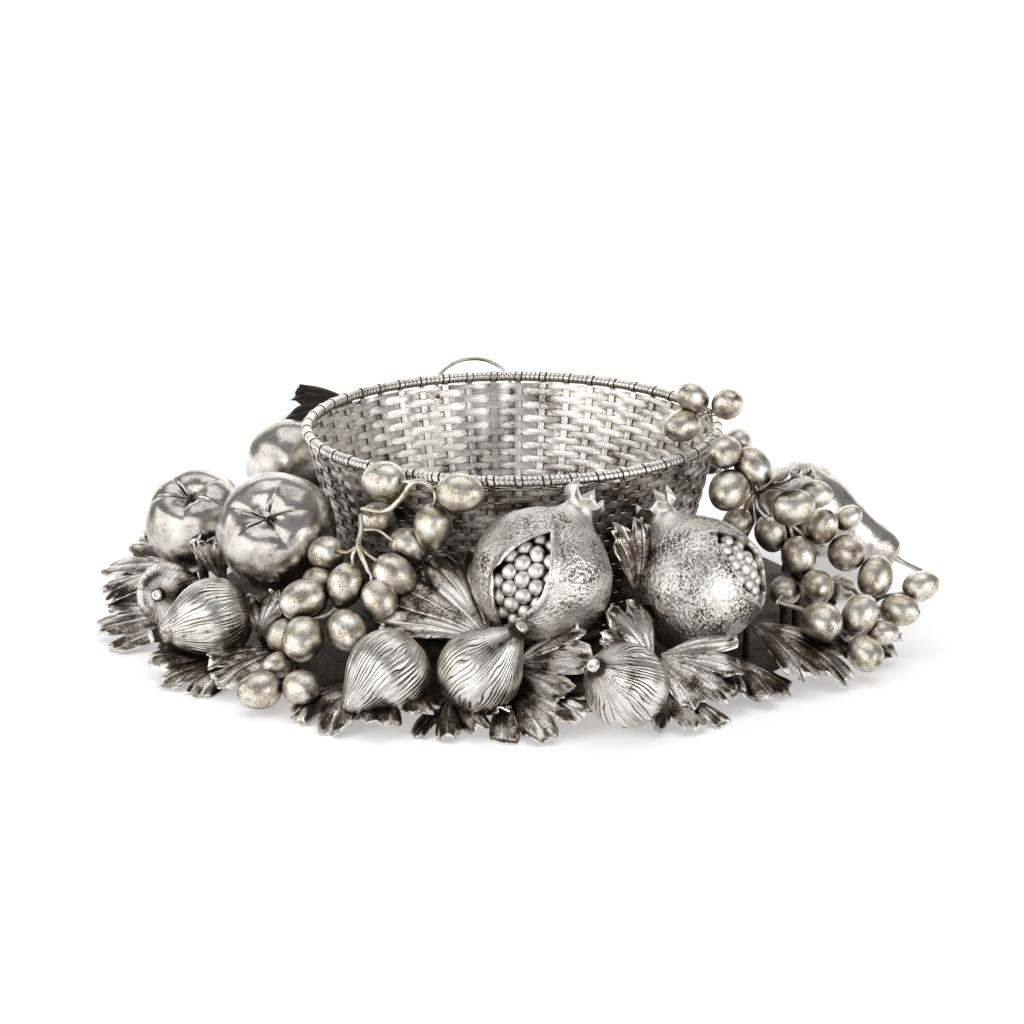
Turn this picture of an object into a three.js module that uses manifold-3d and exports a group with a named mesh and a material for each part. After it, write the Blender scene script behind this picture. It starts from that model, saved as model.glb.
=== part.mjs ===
// Silver centrepiece: a woven basket set in a wreath of fruit, grapes and leaves on a base plate.
// Millimetres. +Z is up, the origin is on the table under the middle of the basket,
// the front of the wreath faces -Y and +X is to the viewer's right.
import * as THREE from 'three';
import { mergeVertices } from 'three/addons/utils/BufferGeometryUtils.js';
import Module from 'manifold-3d';

const wasm = await Module();
wasm.setup();

// Driving dimensions
const CLEARANCE = 0.3; // gap left between pieces that are soldered side by side

const PLATE_RADIUS = 166; // flat round plate that everything is soldered to
const PLATE_THICKNESS = 2;
const PEG_RADIUS = 2.6; // posts that carry the fruit and the grapes
const STUD_RADIUS = 1.6; // posts that carry the leaves
const STUD_LONGEST = 32; // a leaf with its root higher than this is soldered to its neighbours

const RIM_RADIUS = 107; // from the basket's middle to the middle of the rim roll
const RIM_HEIGHT = 101; // from the table to the middle of the rim roll
const RIM_ROLL = 2.9; // radius of the wound roll
const BINDING_THICKNESS = 0.9; // strip wound over the rim's core
const WALL_THICKNESS = 2.2; // woven wall, two strips deep
const WALL_FOOT_RADIUS = 75; // outside of the wall where it turns in to the floor
const FOOT_RING_HEIGHT = 5.4;
const FOOT_RING_WIDTH = 5;
const FOOT_RING_INSET = 4; // from the wall's foot to the outside of the ring
const FLOOR_THICKNESS = 2;
const STAKES = 49; // upright strips round the basket
const STAKE_RELIEF = 0.6; // how far the weave swells in and out

const WREATH_WIDTH = 100; // from the rim out to the leaves' tips, seen from above
const TENDRIL_RADIUS = 1.05; // wire of the loop behind the rim

const APPLE_LARGE = 30.5;
const APPLE_MIDDLE = 27;
const APPLE_SMALL = 25;
const POMEGRANATE_RADIUS = 34.5;
const HUSK_SPLIT_LENGTH = 52; // opening in the husk that shows the seeds
const HUSK_SPLIT_WIDTH = 25;
const HUSK_SPLIT_FLOOR = 21; // from the fruit's middle to the floor of the opening
const SEED_BED = 29.5; // radius of the bed that the seeds stand on
const SEED_RADIUS = 3.7;
const FIG_RADIUS = 20.5;
const FIG_SMALL = 16.5;
const PEAR_RADIUS = 25;
const PEAR_STEM_LENGTH = 15;
const PEAR_STEM_RADIUS = 1.5;

const GRAPE_HALF_LENGTH = 12;
const GRAPE_HALF_WIDTH = 10.2;
const VINE_RADIUS = 1.5;
const STALK_RADIUS = 1.1;

const LEAF_THICKNESS = 1.2;
const LEAF_FOLD = 1.5; // height of the folds at the leaf's edge
const LEAF_NOTCH = 0.17; // depth of the cuts between lobes, as a share of the leaf's length
const LEAF_FOOT = 3; // from the leaf's root point to where its blade starts

// Values worked out from the driving dimensions
const PLATE_TOP = PLATE_THICKNESS;
const RIM_OUTER = RIM_RADIUS + RIM_ROLL;
const WALL_FOOT = PLATE_TOP + CLEARANCE + FOOT_RING_HEIGHT + CLEARANCE;
const BINDING_BORE = RIM_ROLL - BINDING_THICKNESS;
const BINDING_MOUTH = Math.asin((WALL_THICKNESS / 2 + CLEARANCE) / BINDING_BORE);
const BINDING_STEPS = 4; // flats round the binding's section
const CORE_RADIUS = BINDING_BORE * Math.cos((Math.PI - BINDING_MOUTH) / BINDING_STEPS) - CLEARANCE;
const WALL_TOP = RIM_HEIGHT - CORE_RADIUS - CLEARANCE;

const UP = new THREE.Vector3(0, 0, 1);
const WELD = 1e-4;
const radians = THREE.MathUtils.degToRad;

// A place in the wreath: bearing in degrees from the front, positive to the viewer's right,
// distance out from the rim in hundredths of the wreath's width, and height above the base plate
// or another level in hundredths of the rim's height.
function at([bearing, out, height], level = PLATE_TOP) {
  const angle = radians(bearing);
  const radius = RIM_OUTER + (out * WREATH_WIDTH) / 100;
  const rise = (height * RIM_HEIGHT) / 100;
  return new THREE.Vector3(radius * Math.sin(angle), -radius * Math.cos(angle), level + rise);
}

// Closed geometry to a solid with its faces pointing out.
function solidOf(geometry) {
  const bare = geometry.clone();
  bare.deleteAttribute('normal');
  bare.deleteAttribute('uv');
  const merged = mergeVertices(bare, WELD);
  const corners = merged.index.array;
  const triangles = [];
  for (let i = 0; i < corners.length; i += 3) {
    const [a, b, c] = corners.slice(i, i + 3);
    if (a !== b && b !== c && c !== a) triangles.push(a, b, c);
  }
  const vertProperties = merged.attributes.position.array;
  const solid = (list) => new wasm.Manifold(
    new wasm.Mesh({ numProp: 3, vertProperties, triVerts: Uint32Array.from(list) }));
  const first = solid(triangles);
  return first.volume() > 0 ? first : solid(triangles.reverse());
}

function union(solids) {
  return solids.reduce((sum, next) => sum.add(next));
}

function largestBody(solid) {
  return solid.decompose().reduce((best, next) => (next.volume() > best.volume() ? next : best));
}

// A round body about Z from an outline of [radius, height] points.
function lathe(outline, sides) {
  const points = outline.map(([r, z]) => new THREE.Vector2(r, z));
  return new THREE.LatheGeometry(points, sides).rotateX(Math.PI / 2);
}

// Moves each vertex of a body about Z by a rule that knows its radius, height and turn.
function reshape(geometry, rule) {
  const position = geometry.attributes.position;
  for (let i = 0; i < position.count; i += 1) {
    const [x, y, z] = [position.getX(i), position.getY(i), position.getZ(i)];
    const turn = Math.atan2(y, x);
    const [radius, height] = rule(Math.hypot(x, y), z, turn);
    position.setXYZ(i, radius * Math.cos(turn), radius * Math.sin(turn), height);
  }
  return geometry;
}

// Turns a body from +Z to an axis and moves it to its middle.
function aim(geometry, axis, middle) {
  const turn = new THREE.Quaternion().setFromUnitVectors(UP, axis.clone().normalize());
  return geometry.applyQuaternion(turn).translate(middle.x, middle.y, middle.z);
}

function tube(points, radius, sides, steps) {
  const section = new THREE.Shape(Array.from({ length: sides }, (_, i) => {
    const turn = (2 * Math.PI * i) / sides;
    return new THREE.Vector2(radius * Math.cos(turn), radius * Math.sin(turn));
  }));
  const extrudePath = points.length > 2
    ? new THREE.CatmullRomCurve3(points) : new THREE.LineCurve3(...points);
  return solidOf(new THREE.ExtrudeGeometry(section, { steps, extrudePath, bevelEnabled: false }));
}

// Basket
const BASKET_SIDES = 36;
const FOOT_SIDES = 24;

// The wall is a share of the way from its foot, 0, to the rim, 1.
const WALL_BELLY = 0.62; // how soon the wall swells out, 1 is a straight flare
const WALL_ROWS = 4;
const WALL_INSIDE = [1, 0.3, 0];

function wallRadius(share) {
  const top = RIM_RADIUS + WALL_THICKNESS / 2;
  return WALL_FOOT_RADIUS + (top - WALL_FOOT_RADIUS) * share ** WALL_BELLY;
}

function wallHeight(share) {
  return WALL_FOOT + (WALL_TOP - WALL_FOOT) * share;
}

function basketWall(grow) {
  const levels = Array.from({ length: WALL_ROWS + 1 }, (_, row) => row / WALL_ROWS);
  const outside = levels.map((share) => [wallRadius(share) + grow, wallHeight(share)]);
  const inside = WALL_INSIDE.map((share) => (
    [wallRadius(share) - WALL_THICKNESS - grow, wallHeight(share)]));
  const wall = lathe([...outside, ...inside, outside[0]], STAKES * 2);
  // Outside, the rows of weave stand out over one stake and lie under the next.
  const woven = reshape(wall, (radius, height, turn) => {
    const share = (height - WALL_FOOT) / (WALL_TOP - WALL_FOOT);
    const row = Math.round(share * WALL_ROWS);
    const inRow = row > 0 && row < WALL_ROWS && radius > wallRadius(share) - WALL_THICKNESS / 2;
    const swell = inRow ? STAKE_RELIEF * Math.cos(STAKES * turn + row * Math.PI) : 0;
    return [radius + swell, height];
  });
  return solidOf(woven);
}

function basketFloor(grow) {
  const radius = wallRadius(0) - WALL_THICKNESS - CLEARANCE + grow;
  const low = WALL_FOOT - grow;
  const high = WALL_FOOT + FLOOR_THICKNESS + grow;
  return solidOf(lathe([[0, low], [radius, low], [radius, high], [0, high]], FOOT_SIDES));
}

function footRing(grow) {
  const outer = WALL_FOOT_RADIUS - FOOT_RING_INSET + grow;
  const inner = outer - FOOT_RING_WIDTH - 2 * grow;
  const low = PLATE_TOP + CLEARANCE - grow;
  const high = low + FOOT_RING_HEIGHT + 2 * grow;
  const outline = [[inner, low], [outer, low], [outer, high], [inner, high], [inner, low]];
  return solidOf(lathe(outline, FOOT_SIDES));
}

function rimCore(grow) {
  const ring = new THREE.TorusGeometry(RIM_RADIUS, CORE_RADIUS + grow, 5, BASKET_SIDES);
  return solidOf(ring.translate(0, 0, RIM_HEIGHT));
}

// The binding is a C in section, open below where the wall comes up into it.
function rimBinding(grow) {
  const sweep = 2 * (Math.PI - BINDING_MOUTH);
  const arc = (radius) => Array.from({ length: BINDING_STEPS + 1 }, (_, i) => {
    const turn = -Math.PI / 2 + BINDING_MOUTH + (sweep * i) / BINDING_STEPS;
    return [RIM_RADIUS + radius * Math.cos(turn), RIM_HEIGHT + radius * Math.sin(turn)];
  });
  const outer = arc(RIM_ROLL + grow);
  const inner = arc(BINDING_BORE - grow).reverse();
  return solidOf(lathe([...outer, ...inner, outer[0]], BASKET_SIDES));
}

// A small loop of wire that stands up behind the rim, with both ends on the wall.
function vineTendril(grow) {
  const loop = [[-157, -6, -9], [-159, 5, -3], [-163, 13, 2.5], [-170, 17, 5.5],
    [-176, 14, 2.5], [-179, 6, -3], [-180, -6, -9]];
  return tube(loop.map((place) => at(place, RIM_HEIGHT)), TENDRIL_RADIUS + grow, 5, 14);
}

// Fruit outlines: [radius, height] as shares of the fruit's radius, from the blossom end up
const APPLE = [[0, -0.7], [0.24, -0.82], [0.64, -0.7], [0.94, -0.28], [1, 0.12],
  [0.87, 0.58], [0.56, 0.84], [0.3, 0.82], [0.1, 0.64], [0, 0.6]];
const POMEGRANATE = [[0, -0.96], [0.38, -0.9], [0.78, -0.62], [1, 0], [0.86, 0.52], [0.52, 0.84],
  [0.28, 0.96], [0.2, 1.06], [0.24, 1.2], [0.32, 1.32], [0.22, 1.28], [0.12, 1.14], [0, 1.12]];
const FIG = [[0, -0.92], [0.44, -0.86], [0.84, -0.54], [1, 0], [0.87, 0.5], [0.54, 0.95],
  [0.28, 1.3], [0.15, 1.5], [0.15, 1.66], [0, 1.66]];
const PEAR = [[0, -0.92], [0.45, -0.88], [0.86, -0.5], [1, 0], [0.92, 0.48], [0.68, 1.02],
  [0.52, 1.5], [0.45, 1.95], [0.32, 2.25], [0.1, 2.35], [0, 2.35]];

// The outline at full size, pushed out by a clearance where one is asked for.
function sized(outline, radius, grow) {
  const scale = radius + grow;
  return outline.map(([r, z]) => [r * scale, z * scale]);
}

// Creases run from end to end of a fruit that has twice as many sides as creases.
function creased(outline, creases, depth) {
  return reshape(lathe(outline, creases * 2), (radius, height, turn) => {
    const inCrease = Math.cos(creases * turn) < 0;
    return [inCrease ? radius * (1 - depth) : radius, height];
  });
}

const APPLE_CREASES = 6;
const FIG_CREASES = 6;
const CREASE_DEPTH = 0.06;

function apple({ radius, axis, middle }, grow) {
  const body = creased(sized(APPLE, radius, grow), APPLE_CREASES, CREASE_DEPTH);
  return solidOf(aim(body, axis, middle));
}

function fig({ radius, axis, middle }, grow) {
  const body = creased(sized(FIG, radius, grow), FIG_CREASES, CREASE_DEPTH);
  return solidOf(aim(body, axis, middle));
}

function pear({ radius, axis, middle }, grow) {
  const outline = sized(PEAR, radius, grow);
  const body = solidOf(aim(lathe(outline, 10), axis, middle));
  const neckEnd = outline[outline.length - 1][1];
  const along = (distance) => middle.clone().addScaledVector(axis.clone().normalize(), distance);
  const stemTip = neckEnd + PEAR_STEM_LENGTH;
  const stem = tube([along(neckEnd - VINE_RADIUS), along(stemTip)], PEAR_STEM_RADIUS + grow, 6, 1);
  return body.add(stem);
}

// The crown's lip is drawn out into points on every other side.
const CROWN_POINTS = 6;
const CROWN_REACH = 0.12; // as a share of the fruit's radius
const CROWN_START = 1.22;

function pomegranateBody({ radius, axis, middle }, grow) {
  const sides = lathe(sized(POMEGRANATE, radius, grow), CROWN_POINTS * 2);
  const crowned = reshape(sides, (r, z, turn) => {
    const inCrown = z > CROWN_START * radius;
    const point = Math.cos(CROWN_POINTS * turn) > 0 ? 1 : -1;
    return inCrown ? [r, z + point * CROWN_REACH * radius] : [r, z];
  });
  return solidOf(aim(crowned, axis, middle));
}

// The split is a pointed oval that runs through the husk towards the viewer.
function split({ middle, split: { facing, along } }, width, length, floor) {
  const half = length / 2;
  const oval = new THREE.Shape();
  oval.moveTo(0, -half);
  oval.quadraticCurveTo(width, 0, 0, half);
  oval.quadraticCurveTo(-width, 0, 0, -half);
  const depth = 2 * POMEGRANATE_RADIUS - floor;
  const block = new THREE.ExtrudeGeometry(oval, { depth, bevelEnabled: false, curveSegments: 3 });
  block.translate(0, 0, floor);
  const z = facing.clone().normalize();
  const x = along.clone().cross(z).normalize();
  const y = z.clone().cross(x);
  block.applyMatrix4(new THREE.Matrix4().makeBasis(x, y, z).setPosition(middle));
  return solidOf(block);
}

function pomegranateHusk(fruit, grow) {
  const body = pomegranateBody(fruit, grow);
  if (!fruit.split || grow > 0) return body;
  return body.subtract(split(fruit, HUSK_SPLIT_WIDTH, HUSK_SPLIT_LENGTH, HUSK_SPLIT_FLOOR));
}

// Seeds stand in staggered rows on a round bed inside the split.
const SEED_PITCH = 2.2 * SEED_RADIUS;
const SEED_ROWS = 5;
const SEEDS_ACROSS = 3;

function pomegranateSeeds(fruit, grow) {
  const { middle, split: { facing, along } } = fruit;
  const z = facing.clone().normalize();
  const x = along.clone().cross(z).normalize();
  const y = z.clone().cross(x);
  const beads = [];
  for (let row = 0; row < SEED_ROWS; row += 1) {
    const rowPlace = (row - (SEED_ROWS - 1) / 2) * SEED_PITCH * Math.cos(radians(30));
    const across = row % 2 ? SEEDS_ACROSS - 1 : SEEDS_ACROSS;
    for (let i = 0; i < across; i += 1) {
      const place = (i - (across - 1) / 2) * SEED_PITCH;
      const out = Math.sqrt(SEED_BED ** 2 - rowPlace ** 2 - place ** 2);
      const bead = new THREE.IcosahedronGeometry(SEED_RADIUS + grow, 0);
      const centre = middle.clone().addScaledVector(x, place).addScaledVector(y, rowPlace)
        .addScaledVector(z, out);
      beads.push(solidOf(bead.translate(centre.x, centre.y, centre.z)));
    }
  }
  const bed = new THREE.SphereGeometry(SEED_BED, 10, 7).translate(middle.x, middle.y, middle.z);
  const floor = HUSK_SPLIT_FLOOR + CLEARANCE;
  const room = split(fruit, HUSK_SPLIT_WIDTH - 4 * CLEARANCE, HUSK_SPLIT_LENGTH - 4 * CLEARANCE, floor);
  return union([solidOf(bed), ...beads]).intersect(room);
}

// Fruit in the wreath, in the order in which they are seated: a later one gives way to an earlier
const vector = (x, y, z) => new THREE.Vector3(x, y, z);

const FRUIT = [
  { name: 'pomegranate_front', form: pomegranateHusk, radius: POMEGRANATE_RADIUS,
    place: [6, 25, 58], axis: vector(0.49, 0.25, 0.83),
    split: { facing: vector(-0.3, -0.92, 0.24), along: vector(0.45, 0.1, 0.87) } },
  { name: 'pomegranate_right', form: pomegranateHusk, radius: POMEGRANATE_RADIUS,
    place: [42, 26, 44], axis: vector(-0.44, 0.25, 0.86),
    split: { facing: vector(0.78, -0.46, 0.42), along: vector(-0.5, -0.2, 0.8) } },
  { name: 'pomegranate_back', form: pomegranateHusk, radius: POMEGRANATE_RADIUS,
    place: [177, 27, 46], axis: vector(0.3, 0.75, 0.6) },
  { name: 'apple_front_left', form: apple, radius: APPLE_LARGE,
    place: [-59, 28, 61], axis: vector(-0.22, -0.77, 0.6) },
  { name: 'apple_outer_left', form: apple, radius: APPLE_MIDDLE,
    place: [-80, 55, 54], axis: vector(-0.19, -0.49, 0.84) },
  { name: 'apple_back_left', form: apple, radius: APPLE_SMALL,
    place: [-116, 23, 61], axis: vector(-0.1, 0.6, 0.8) },
  { name: 'apple_back_right', form: apple, radius: APPLE_MIDDLE,
    place: [145, 30, 54], axis: vector(0.3, 0.6, 0.75) },
  { name: 'pear_right', form: pear, radius: PEAR_RADIUS,
    place: [96, 44, 50], axis: vector(0.88, -0.1, -0.46) },
  { name: 'pear_back_left', form: pear, radius: PEAR_RADIUS,
    place: [-148, 32, 44], axis: vector(-0.35, 0.88, -0.32) },
  { name: 'fig_left', form: fig, radius: FIG_RADIUS,
    place: [-56, 70, 26], axis: vector(-0.93, -0.3, -0.2) },
  { name: 'fig_outer_left', form: fig, radius: FIG_SMALL,
    place: [-71, 76, 26], axis: vector(-0.12, -0.95, 0.28) },
  { name: 'fig_front_left', form: fig, radius: FIG_RADIUS,
    place: [-18.5, 75.5, 24], axis: vector(-0.7, -0.3, -0.65) },
  { name: 'fig_front_middle', form: fig, radius: FIG_RADIUS,
    place: [-5, 71, 25], axis: vector(0.62, -0.2, 0.76) },
  { name: 'fig_front_right', form: fig, radius: FIG_RADIUS,
    place: [16, 87, 21.5], axis: vector(-0.5, -0.68, 0.54) },
  { name: 'fig_back_left', form: fig, radius: FIG_RADIUS,
    place: [-168, 72, 24], axis: vector(0.5, 0.8, 0.1) },
  { name: 'fig_back_right', form: fig, radius: FIG_RADIUS,
    place: [160, 72, 24], axis: vector(0.1, 0.9, 0.4) },
];
FRUIT.forEach((fruit) => { fruit.middle = at(fruit.place); });

// Grapes: each sprig has vine joints, and each grape hangs from one of them.
// joints are places; a grape is [place, joint it hangs from, size].
const SPRIGS = [
  { name: 'grape_sprig_left_rim', level: RIM_HEIGHT,
    joints: [[-34, 22, -13], [-28, 22, -12], [-25, 20, -6], [-21, 19, 4], [-18, 13, -1],
      [-16, -1, 1]],
    grapes: [[[-31, 13, 0], 3, 1], [[-12, 12, -2], 4, 1], [[-19, 10, -21], 4, 1],
      [[-35, 6, -23], 0, 0.9]] },
  { name: 'grape_sprig_left_middle',
    joints: [[-34, 24, 82], [-32, 30, 77], [-31, 36, 71], [-29, 36, 59]],
    grapes: [[[-25, 10, 66], 1, 0.9], [[-42, 28, 60], 2, 0.9], [[-25, 27, 55], 2, 1.05],
      [[-33, 40, 51], 2, 0.95], [[-26, 38, 45], 3, 0.95]] },
  { name: 'grape_sprig_left_outer',
    joints: [[-37, 40, 47], [-34, 46, 40], [-37, 56, 35]],
    grapes: [[[-39, 53, 44], 0, 1.05], [[-41, 36, 47], 0, 0.85], [[-29, 56, 34], 1, 1],
      [[-35, 68, 30], 2, 1.05], [[-42, 58, 25], 2, 0.85]] },
  { name: 'grape_sprig_left_low',
    joints: [[-37, 66, 18], [-35, 78, 10]],
    grapes: [[[-38, 76, 17], 0, 0.65], [[-37, 93, 9.5], 1, 0.95], [[-31.5, 85, 12], 1, 0.92]] },
  { name: 'grape_sprig_right_rim', level: RIM_HEIGHT,
    joints: [[66, 14, 2], [69, 4, 4.6], [73, -2, 6], [76, -5, 13]],
    grapes: [[[65, -14, 11], 3, 0.87], [[69, -11, 24], 3, 0.8], [[70, 7, 22], 3, 0.8],
      [[72, 12, 2], 0, 0.7], [[61, 13, 2], 0, 0.85], [[65, 25, -6], 0, 0.92]] },
  { name: 'grape_sprig_right_upper', post: 1,
    joints: [[67, 15, 96], [73, 17, 88], [66, 26, 78], [62, 38, 70]],
    grapes: [[[59, 18, 82], 1, 1.05], [[67, 15, 60], 2, 0.75], [[64, 48, 74], 3, 0.95],
      [[69, 55, 78], 2, 0.75], [[69, 32, 55], 2, 0.85]] },
  { name: 'grape_sprig_right_middle',
    joints: [[69, 42, 61], [73, 52, 49], [78, 60, 42]],
    grapes: [[[72, 57, 59], 1, 0.82], [[76, 68, 61], 1, 0.65], [[68, 48, 45], 0, 0.92],
      [[72, 70, 46], 2, 0.98]] },
  { name: 'grape_sprig_right_outer',
    joints: [[70, 55, 33], [73, 70, 28], [69, 84, 22]],
    grapes: [[[64, 62, 34], 0, 0.9], [[75, 66, 24], 1, 0.75], [[71, 86, 36], 2, 0.93],
      [[69, 101, 22], 2, 0.85], [[73, 108, 31], 2, 0.8]] },
  { name: 'grape_sprig_right_low',
    joints: [[57, 50, 30], [60, 64, 24], [60, 84, 13]],
    grapes: [[[56, 77, 25], 1, 1.05], [[62, 88, 25], 2, 0.92], [[64, 98, 15], 2, 0.68],
      [[57.5, 99, 11], 2, 0.9], [[64, 45, 30], 0, 0.82]] },
  { name: 'grape_sprig_back_left',
    joints: [[-130, 34, 50], [-132, 48, 38], [-131, 62, 24]],
    grapes: [[[-127, 46, 50], 0, 0.95], [[-136, 34, 60], 0, 0.9], [[-136, 54, 40], 1, 1],
      [[-127, 60, 34], 1, 1], [[-134, 72, 24], 2, 0.95], [[-127, 78, 16], 2, 0.9]] },
  { name: 'grape_sprig_back_right',
    joints: [[122, 22, 60], [124, 40, 46], [125, 60, 28]],
    grapes: [[[117, 16, 70], 0, 0.95], [[127, 26, 58], 0, 0.9], [[118, 40, 52], 1, 1],
      [[128, 48, 40], 1, 1], [[120, 60, 34], 1, 0.95], [[129, 68, 22], 2, 0.95],
      [[121, 80, 16], 2, 0.9]] },
];

function grape(middle, joint, size, grow) {
  const ball = new THREE.SphereGeometry(1, 6, 5).rotateX(Math.PI / 2);
  const width = GRAPE_HALF_WIDTH * size + grow;
  ball.scale(width, width, GRAPE_HALF_LENGTH * size + grow);
  return solidOf(aim(ball, joint.clone().sub(middle), middle));
}

// The vine and its stalks are one piece of wire. Each grape stands clear of the vine, of the
// others' stalks and of the grapes before it, and hangs by its own stalk alone.
function sprig({ joints, grapes, level }, grow) {
  const places = joints.map((place) => at(place, level));
  const vine = (more) => tube(places, VINE_RADIUS + more, 4, places.length + 1);
  const stalk = ([place, joint], more) => (
    tube([places[joint], at(place, level)], STALK_RADIUS + more, 3, 1));
  const ball = ([place, joint, size], more) => grape(at(place, level), places[joint], size, more);
  const wires = [vine(grow), ...grapes.map((row) => stalk(row, grow))];
  if (grow > 0) return union([...wires, ...grapes.map((row) => ball(row, grow))]);
  const balls = grapes.map((row, i) => {
    const others = grapes.filter((_, k) => k !== i).map((other) => stalk(other, CLEARANCE));
    const before = grapes.slice(0, i).map((other) => ball(other, CLEARANCE));
    const cutters = [vine(CLEARANCE), ...others, ...before];
    return largestBody(cutters.reduce((solid, cutter) => solid.subtract(cutter), ball(row, 0)));
  });
  return union([...wires, ...balls]);
}

// Leaves: a fan of folds about a root, split into lobes. from is the root and to the middle tip;
// fan is the angle each side of the middle, tilt turns the blade about its length, and arch is
// how far its middle stands above the straight line, in hundredths of its length.
const LEAVES = [
  { name: 'leaf_left_upper', from: [-82, 58, 26], to: [-89, 107, 21], lobes: 3, fan: 44, arch: 8 },
  { name: 'leaf_left_lower', from: [-73, 56, 9], to: [-80, 110, 6], lobes: 4, fan: 48, arch: 6 },
  { name: 'leaf_fig_left', from: [-52, 58, 8], to: [-57, 107, 3], lobes: 4, fan: 56, arch: 6 },
  { name: 'leaf_fig_inner', from: [-43, 54, 16], to: [-46, 95, 3], lobes: 3, fan: 48, arch: 6 },
  { name: 'leaf_between_apples', from: [-68, 48, 31], to: [-67, 60, 60], lobes: 2, fan: 32, arch: 6,
    tilt: 50 },
  { name: 'leaf_grapes_left', from: [-46, 64, 24], to: [-51, 42, 40], lobes: 3, fan: 44, arch: 6 },
  { name: 'leaf_front_left', from: [-23, 52, 8], to: [-20.5, 108, 1], lobes: 4, fan: 58, arch: 12 },
  { name: 'leaf_front_small', from: [-10, 56, 8], to: [-6, 99, 2], lobes: 4, fan: 46, arch: 6 },
  { name: 'leaf_middle_upper', from: [0, 50, 20], to: [13, 69, 29], lobes: 3, fan: 50, arch: 6 },
  { name: 'leaf_middle_lower', from: [-1, 56, 12], to: [8, 97, 2], lobes: 4, fan: 54, arch: 8 },
  { name: 'leaf_centre_rising', from: [-4, 44, 32], to: [-25, 14, 56], lobes: 4, fan: 48, arch: 8 },
  { name: 'leaf_between_pomegranates', from: [26, 48, 16], to: [18, 36, 44], lobes: 3, fan: 48, arch: 8 },
  { name: 'leaf_shell', from: [27, 24, 44], to: [25, 20, 85], lobes: 2, fan: 26, arch: 12 },
  { name: 'leaf_right_upper', from: [26, 50, 20], to: [35, 86, 11], lobes: 4, fan: 52, arch: 8 },
  { name: 'leaf_right_low', from: [26, 58, 8], to: [21, 104, 2], lobes: 4, fan: 54, arch: 6 },
  { name: 'leaf_right_outer', from: [40, 50, 13], to: [36, 93, 3], lobes: 4, fan: 52, arch: 8 },
  { name: 'leaf_long_right', from: [53, 38, 20], to: [52, 104, 2], lobes: 3, fan: 36, arch: 8 },
  { name: 'leaf_right_end', from: [65, 66, 10], to: [70.5, 104, 6], lobes: 3, fan: 50, arch: 6 },
  { name: 'leaf_pear', from: [66, 26, 76], to: [65, 58, 93], lobes: 2, fan: 26, arch: 6 },
  { name: 'leaf_back_left', from: [-131, 1, 90], to: [-119, 34, 82], lobes: 3, fan: 44, arch: 10,
    tilt: -55 },
  { name: 'leaf_back_low_left', from: [-112, 52, 14], to: [-112, 106, 5], lobes: 4, fan: 58, arch: 10 },
  { name: 'leaf_back_middle', from: [-150, 56, 10], to: [-153, 106, 3], lobes: 4, fan: 54, arch: 8 },
  { name: 'leaf_back_right', from: [174, 52, 12], to: [175, 106, 3], lobes: 4, fan: 58, arch: 8 },
  { name: 'leaf_back_low_right', from: [112, 52, 12], to: [108, 106, 4], lobes: 4, fan: 58, arch: 10 },
];

const FOLDS_PER_LOBE = 2;
const LEAF_ROWS = 2;
const LEAF_LEAN = 0.8; // how far a leaf faces outwards rather than up
const LEAF_TAPER = 0.12; // how much shorter the side lobes are

function leafFrame({ from, to, tilt = 0 }) {
  const root = at(from);
  const tip = at(to);
  const x = tip.clone().sub(root).normalize();
  const outward = root.clone().setZ(0).normalize();
  // Every leaf faces up and away from the basket.
  const face = UP.clone().addScaledVector(outward, LEAF_LEAN);
  const z = face.projectOnPlane(x).normalize().applyAxisAngle(x, radians(tilt));
  const y = z.clone().cross(x);
  const frame = new THREE.Matrix4().makeBasis(x, y, z).setPosition(root);
  return { frame, face: z, length: tip.distanceTo(root) };
}

function archAt({ arch }, reach, length) {
  return ((arch * length) / 100) * Math.sin(Math.PI * Math.min(reach / length, 1));
}

function leaf(row, grow) {
  const { frame, length } = leafFrame(row);
  const columns = 2 * FOLDS_PER_LOBE * row.lobes;
  const half = LEAF_THICKNESS / 2 + grow;
  const point = (i, j, side) => {
    const turn = radians(row.fan) * (2 * j / columns - 1);
    const inLobe = (j * row.lobes / columns) % 1;
    const notch = LEAF_NOTCH * Math.abs(2 * inLobe - 1) ** 2;
    const taper = LEAF_TAPER * (2 * j / columns - 1) ** 2;
    const reach = length * (1 - (j > 0 && j < columns ? notch : LEAF_NOTCH) - taper) + grow;
    const start = LEAF_FOOT - grow;
    const rho = start + ((reach - start) * i) / LEAF_ROWS;
    const edge = (j === columns) - (j === 0);
    const x = rho * Math.cos(turn) - edge * grow * Math.sin(turn);
    const y = rho * Math.sin(turn) + edge * grow * Math.cos(turn);
    const fold = LEAF_FOLD * (rho / length) * (j % 2 ? 1 : -1);
    const z = archAt(row, rho, length) + fold + side * half;
    const place = new THREE.Vector3(x, y, z).applyMatrix4(frame);
    // A leaf's low edges lie just clear of the table.
    return place.setZ(Math.max(place.z, CLEARANCE + LEAF_THICKNESS / 2 + side * half));
  };
  return shell(LEAF_ROWS, columns, point);
}

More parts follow.
